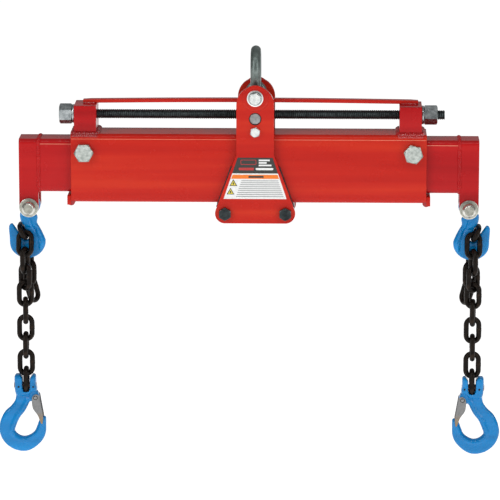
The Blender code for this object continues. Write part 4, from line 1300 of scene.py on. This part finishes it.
LATCH = [
    (0.0165, -0.0140), (0.0215, -0.0165), (0.0232, -0.0250), (0.0265, -0.0440), (0.0280, -0.0540),
    (0.0266, -0.0652), (0.0250, -0.0648), (0.0225, -0.0590), (0.0190, -0.0500), (0.0120, -0.0400),
    (0.0098, -0.0320), (0.0095, -0.0240), (0.0110, -0.0175),
]
LATCH_WEB = [(0.0131, -0.0385), (0.0145, -0.0385), (0.0219, -0.0500), (0.0205, -0.0500)]


def make_latches():
    """Two pressed cheeks astride the hook's lug and tip, with a web between them and a rivet, and a dark
    ring round each rivet's head as painted shade.
    """
    cheek, half = 0.0015, 0.0096
    reach = half + cheek
    # a dark disc round each rivet's head: painted shade
    shade_ring = ((-0.0010, 0.0037), (0.0002, 0.0037))
    dish = ((-0.0010, 0.0026), (0.0004, 0.0026), (0.0008, 0.0021), (0.0008, 0.0014), (0.0004, 0.0009))
    for side, word in SIDES.items():
        node = f"latch_{word}"
        pin = load_pin(word)
        centre, toward = (pin.x, pin.z), -side
        outline = smooth_outline(out_and_up(LATCH, toward, centre), 0.0012)
        web = out_and_up(LATCH_WEB, toward, centre)
        (rivet,) = out_and_up([LATCH_RIVET], toward, centre)
        sheet, shade_rings, rivets = bmesh.new(), bmesh.new(), bmesh.new()
        for sign in SIDES:
            slab(sheet, outline, (), "Y", *sorted((pin.y + sign * half, pin.y + sign * reach)))
            for bm, profile in ((shade_rings, shade_ring), (rivets, dish)):
                spin(bm, "Y", rivet, [(pin.y + sign * (reach + at), radius) for at, radius in profile], 28)
        slab(sheet, web, (), "Y", pin.y - half - 0.0005, pin.y + half + 0.0005)
        spin(rivets, "Y", rivet, [(pin.y - half, 0.0022), (pin.y + half, 0.0022)], 24)
        soften(piece(f"{node}_sheet", sheet, node, "latch", [node]), 0.0005, 2)
        piece(f"latch_rivet_shade_ring_{word}", shade_rings, node, "hole")
        piece(f"latch_rivet_{word}", rivets, node, "steel")


# ---------------------------------------------------------------- chain


def link_mesh(wire, bend, straight):
    """One link, upright in the XZ plane, with the bump of its weld in the middle of one side."""
    half, turn, run = straight / 2, 26, 14  # turn and run are the steps round an end and along a side
    side = [(bend, half * (2 * k / run - 1)) for k in range(1, run)]
    other = [(-bend, half * (1 - 2 * k / run)) for k in range(1, run)]
    path = side + arc((0, half), bend, 0, 180, turn) + other + arc((0, -half), bend, 180, 360, turn)
    weld_at = 6.5

    def reach(share):
        away = abs(share * len(path) - weld_at)
        return wire * (1 + 0.085 * math.exp(-((away - 1.3) ** 2) / 0.9))

    bm = bmesh.new()
    sweep(bm, [(a, 0, b) for a, b in path], reach, ACROSS, 20, closed=True)
    return mesh_of(bm, "link", "chain")


def link_frame(node):
    """A link's middle and its three axes (across, square to its plane, along), with their half sizes."""
    points = np.array([v.co for v in frame["nodes"][node].data.vertices], float)
    points = np.unique(np.round(points, 6), axis=0)
    centre = points.mean(axis=0)
    _, spread = np.linalg.eigh(np.cov((points - centre).T))
    across, along = Vector(spread[:, 1]), Vector(spread[:, 2])
    if along.z < 0:
        along.negate()
    if across.x < 0:
        across.negate()
    axes = (across, along.cross(across), along)
    half = [float(np.abs((points - centre) @ np.array(axis)).max()) for axis in axes]
    return Vector(centre), axes, half


def make_chains():
    """Every link from one mesh, placed on its CAD bar, which has six sides."""
    facet = math.cos(math.pi / 6)
    _, _, half = link_frame("leg_link_left_5")
    wire = half[1]
    bend = half[0] - facet * wire
    mesh = link_mesh(wire, bend, 2 * (half[2] - facet * wire - bend))
    for word in SIDES.values():
        held = f"held_link_{word}"
        hanging = [f"leg_link_{word}_{k}" for k in range(1, 10)]
        hanging += [f"tail_link_{word}_{k}" for k in range(1, 5)]
        for node in [*hanging, held]:
            centre, axes, _ = link_frame(node)
            link = add_object(f"{node}_forged", mesh)
            link.matrix_world = Matrix.Translation(centre) @ Matrix(axes).transposed().to_4x4()
            settle(link, f"grab_hook_{word}" if node == held else node, [node])


# ---------------------------------------------------------------- studio

CENTRE = (Vector(CAD_BOX[0]) + Vector(CAD_BOX[1])) / 2


def pale_floor():
    """Near white, and lit a little from within, so that it fades into the background."""
    pale = mottled(1.5, 2, 0.5, (0.3, grey(0.90)), (0.7, grey(0.93)))
    made = surface("floor", pale, cloudy(4, 2, 0.75, 0.85))
    shader = made.node_tree.nodes["Principled BSDF"]
    shader.inputs["Emission Color"].default_value = (1, 1, 1, 1)
    shader.inputs["Emission Strength"].default_value = 0.82
    return made


def make_floor():
    size, drop = 40.0, 0.55
    bm = bmesh.new()
    bmesh.ops.create_grid(bm, x_segments=8, y_segments=8, size=size)
    bmesh.ops.translate(bm, verts=bm.verts, vec=(0, 0, CAD_BOX[0][2] - drop))
    mesh = bpy.data.meshes.new("floor")
    bm.to_mesh(mesh)
    bm.free()
    mesh.materials.append(pale_floor())
    floor = add_object("floor", mesh)


def make_lights():
    """Area lights that face the object, each at a place and with a size in metres and a power in watts."""
    for name, at, size, power in (
        ("overhead", (0.0, 0.2, 2.2), (3.0, 2.4), 1.5),
        ("strip", (0.0, -1.5, 1.9), (3.2, 0.10), 16),
        ("front_left", (-2.4, -2.6, 1.2), (1.6, 2.0), 37),
        ("front_right", (2.6, -2.4, 0.8), (1.6, 2.0), 28.5),
        ("rear", (0.3, 2.8, 1.4), (2.4, 1.6), 3),
    ):
        data = bpy.data.lights.new(name, "AREA")
        data.shape = "RECTANGLE"
        data.size, data.size_y = size
        data.energy = power
        light = add_object(name, data)
        light.location = at
        light.rotation_euler = (CENTRE - Vector(at)).to_track_quat("-Z", "Y").to_euler()


def make_world():
    world = bpy.data.worlds.new("studio")
    world.use_nodes = True
    back = world.node_tree.nodes["Background"]
    back.inputs["Color"].default_value = (1.0, 1.0, 1.0, 1.0)
    back.inputs["Strength"].default_value = 0.24
    bpy.context.scene.world = world
    bpy.context.scene.view_settings.view_transform = "Standard"


def make_camera():
    """A long lens, a little above the beam, as in a catalogue picture."""
    target = Vector((CENTRE.x + 0.0015, 0, CENTRE.z - 0.0005))
    away, elevation, azimuth = 6.0, math.radians(11.5), math.radians(1.5)
    data = bpy.data.cameras.new("camera")
    data.lens = 259
    data.sensor_width = 36
    camera = add_object("camera", data)
    level = math.cos(elevation)
    offset = Vector((level * math.sin(azimuth), -level * math.cos(azimuth), math.sin(elevation)))
    camera.location = target + away * offset
    camera.rotation_euler = (-offset).to_track_quat("-Z", "Y").to_euler()
    bpy.context.scene.camera = camera


make_camera()
make_main_tube()
make_stop_bars()
make_screw_blocks()
make_tie_strap()
make_arms()
make_beam_bolts()
make_clevis_bolts()
make_lead_screw()
make_stop_nut()
make_plates()
make_wear_pads()
make_trunnion_nut()
make_carriage_bolts()
make_rollers()
make_shackle()
make_label()
make_grab_hooks()
make_sling_hooks()
make_latches()
make_chains()
make_floor()
make_lights()
make_world()
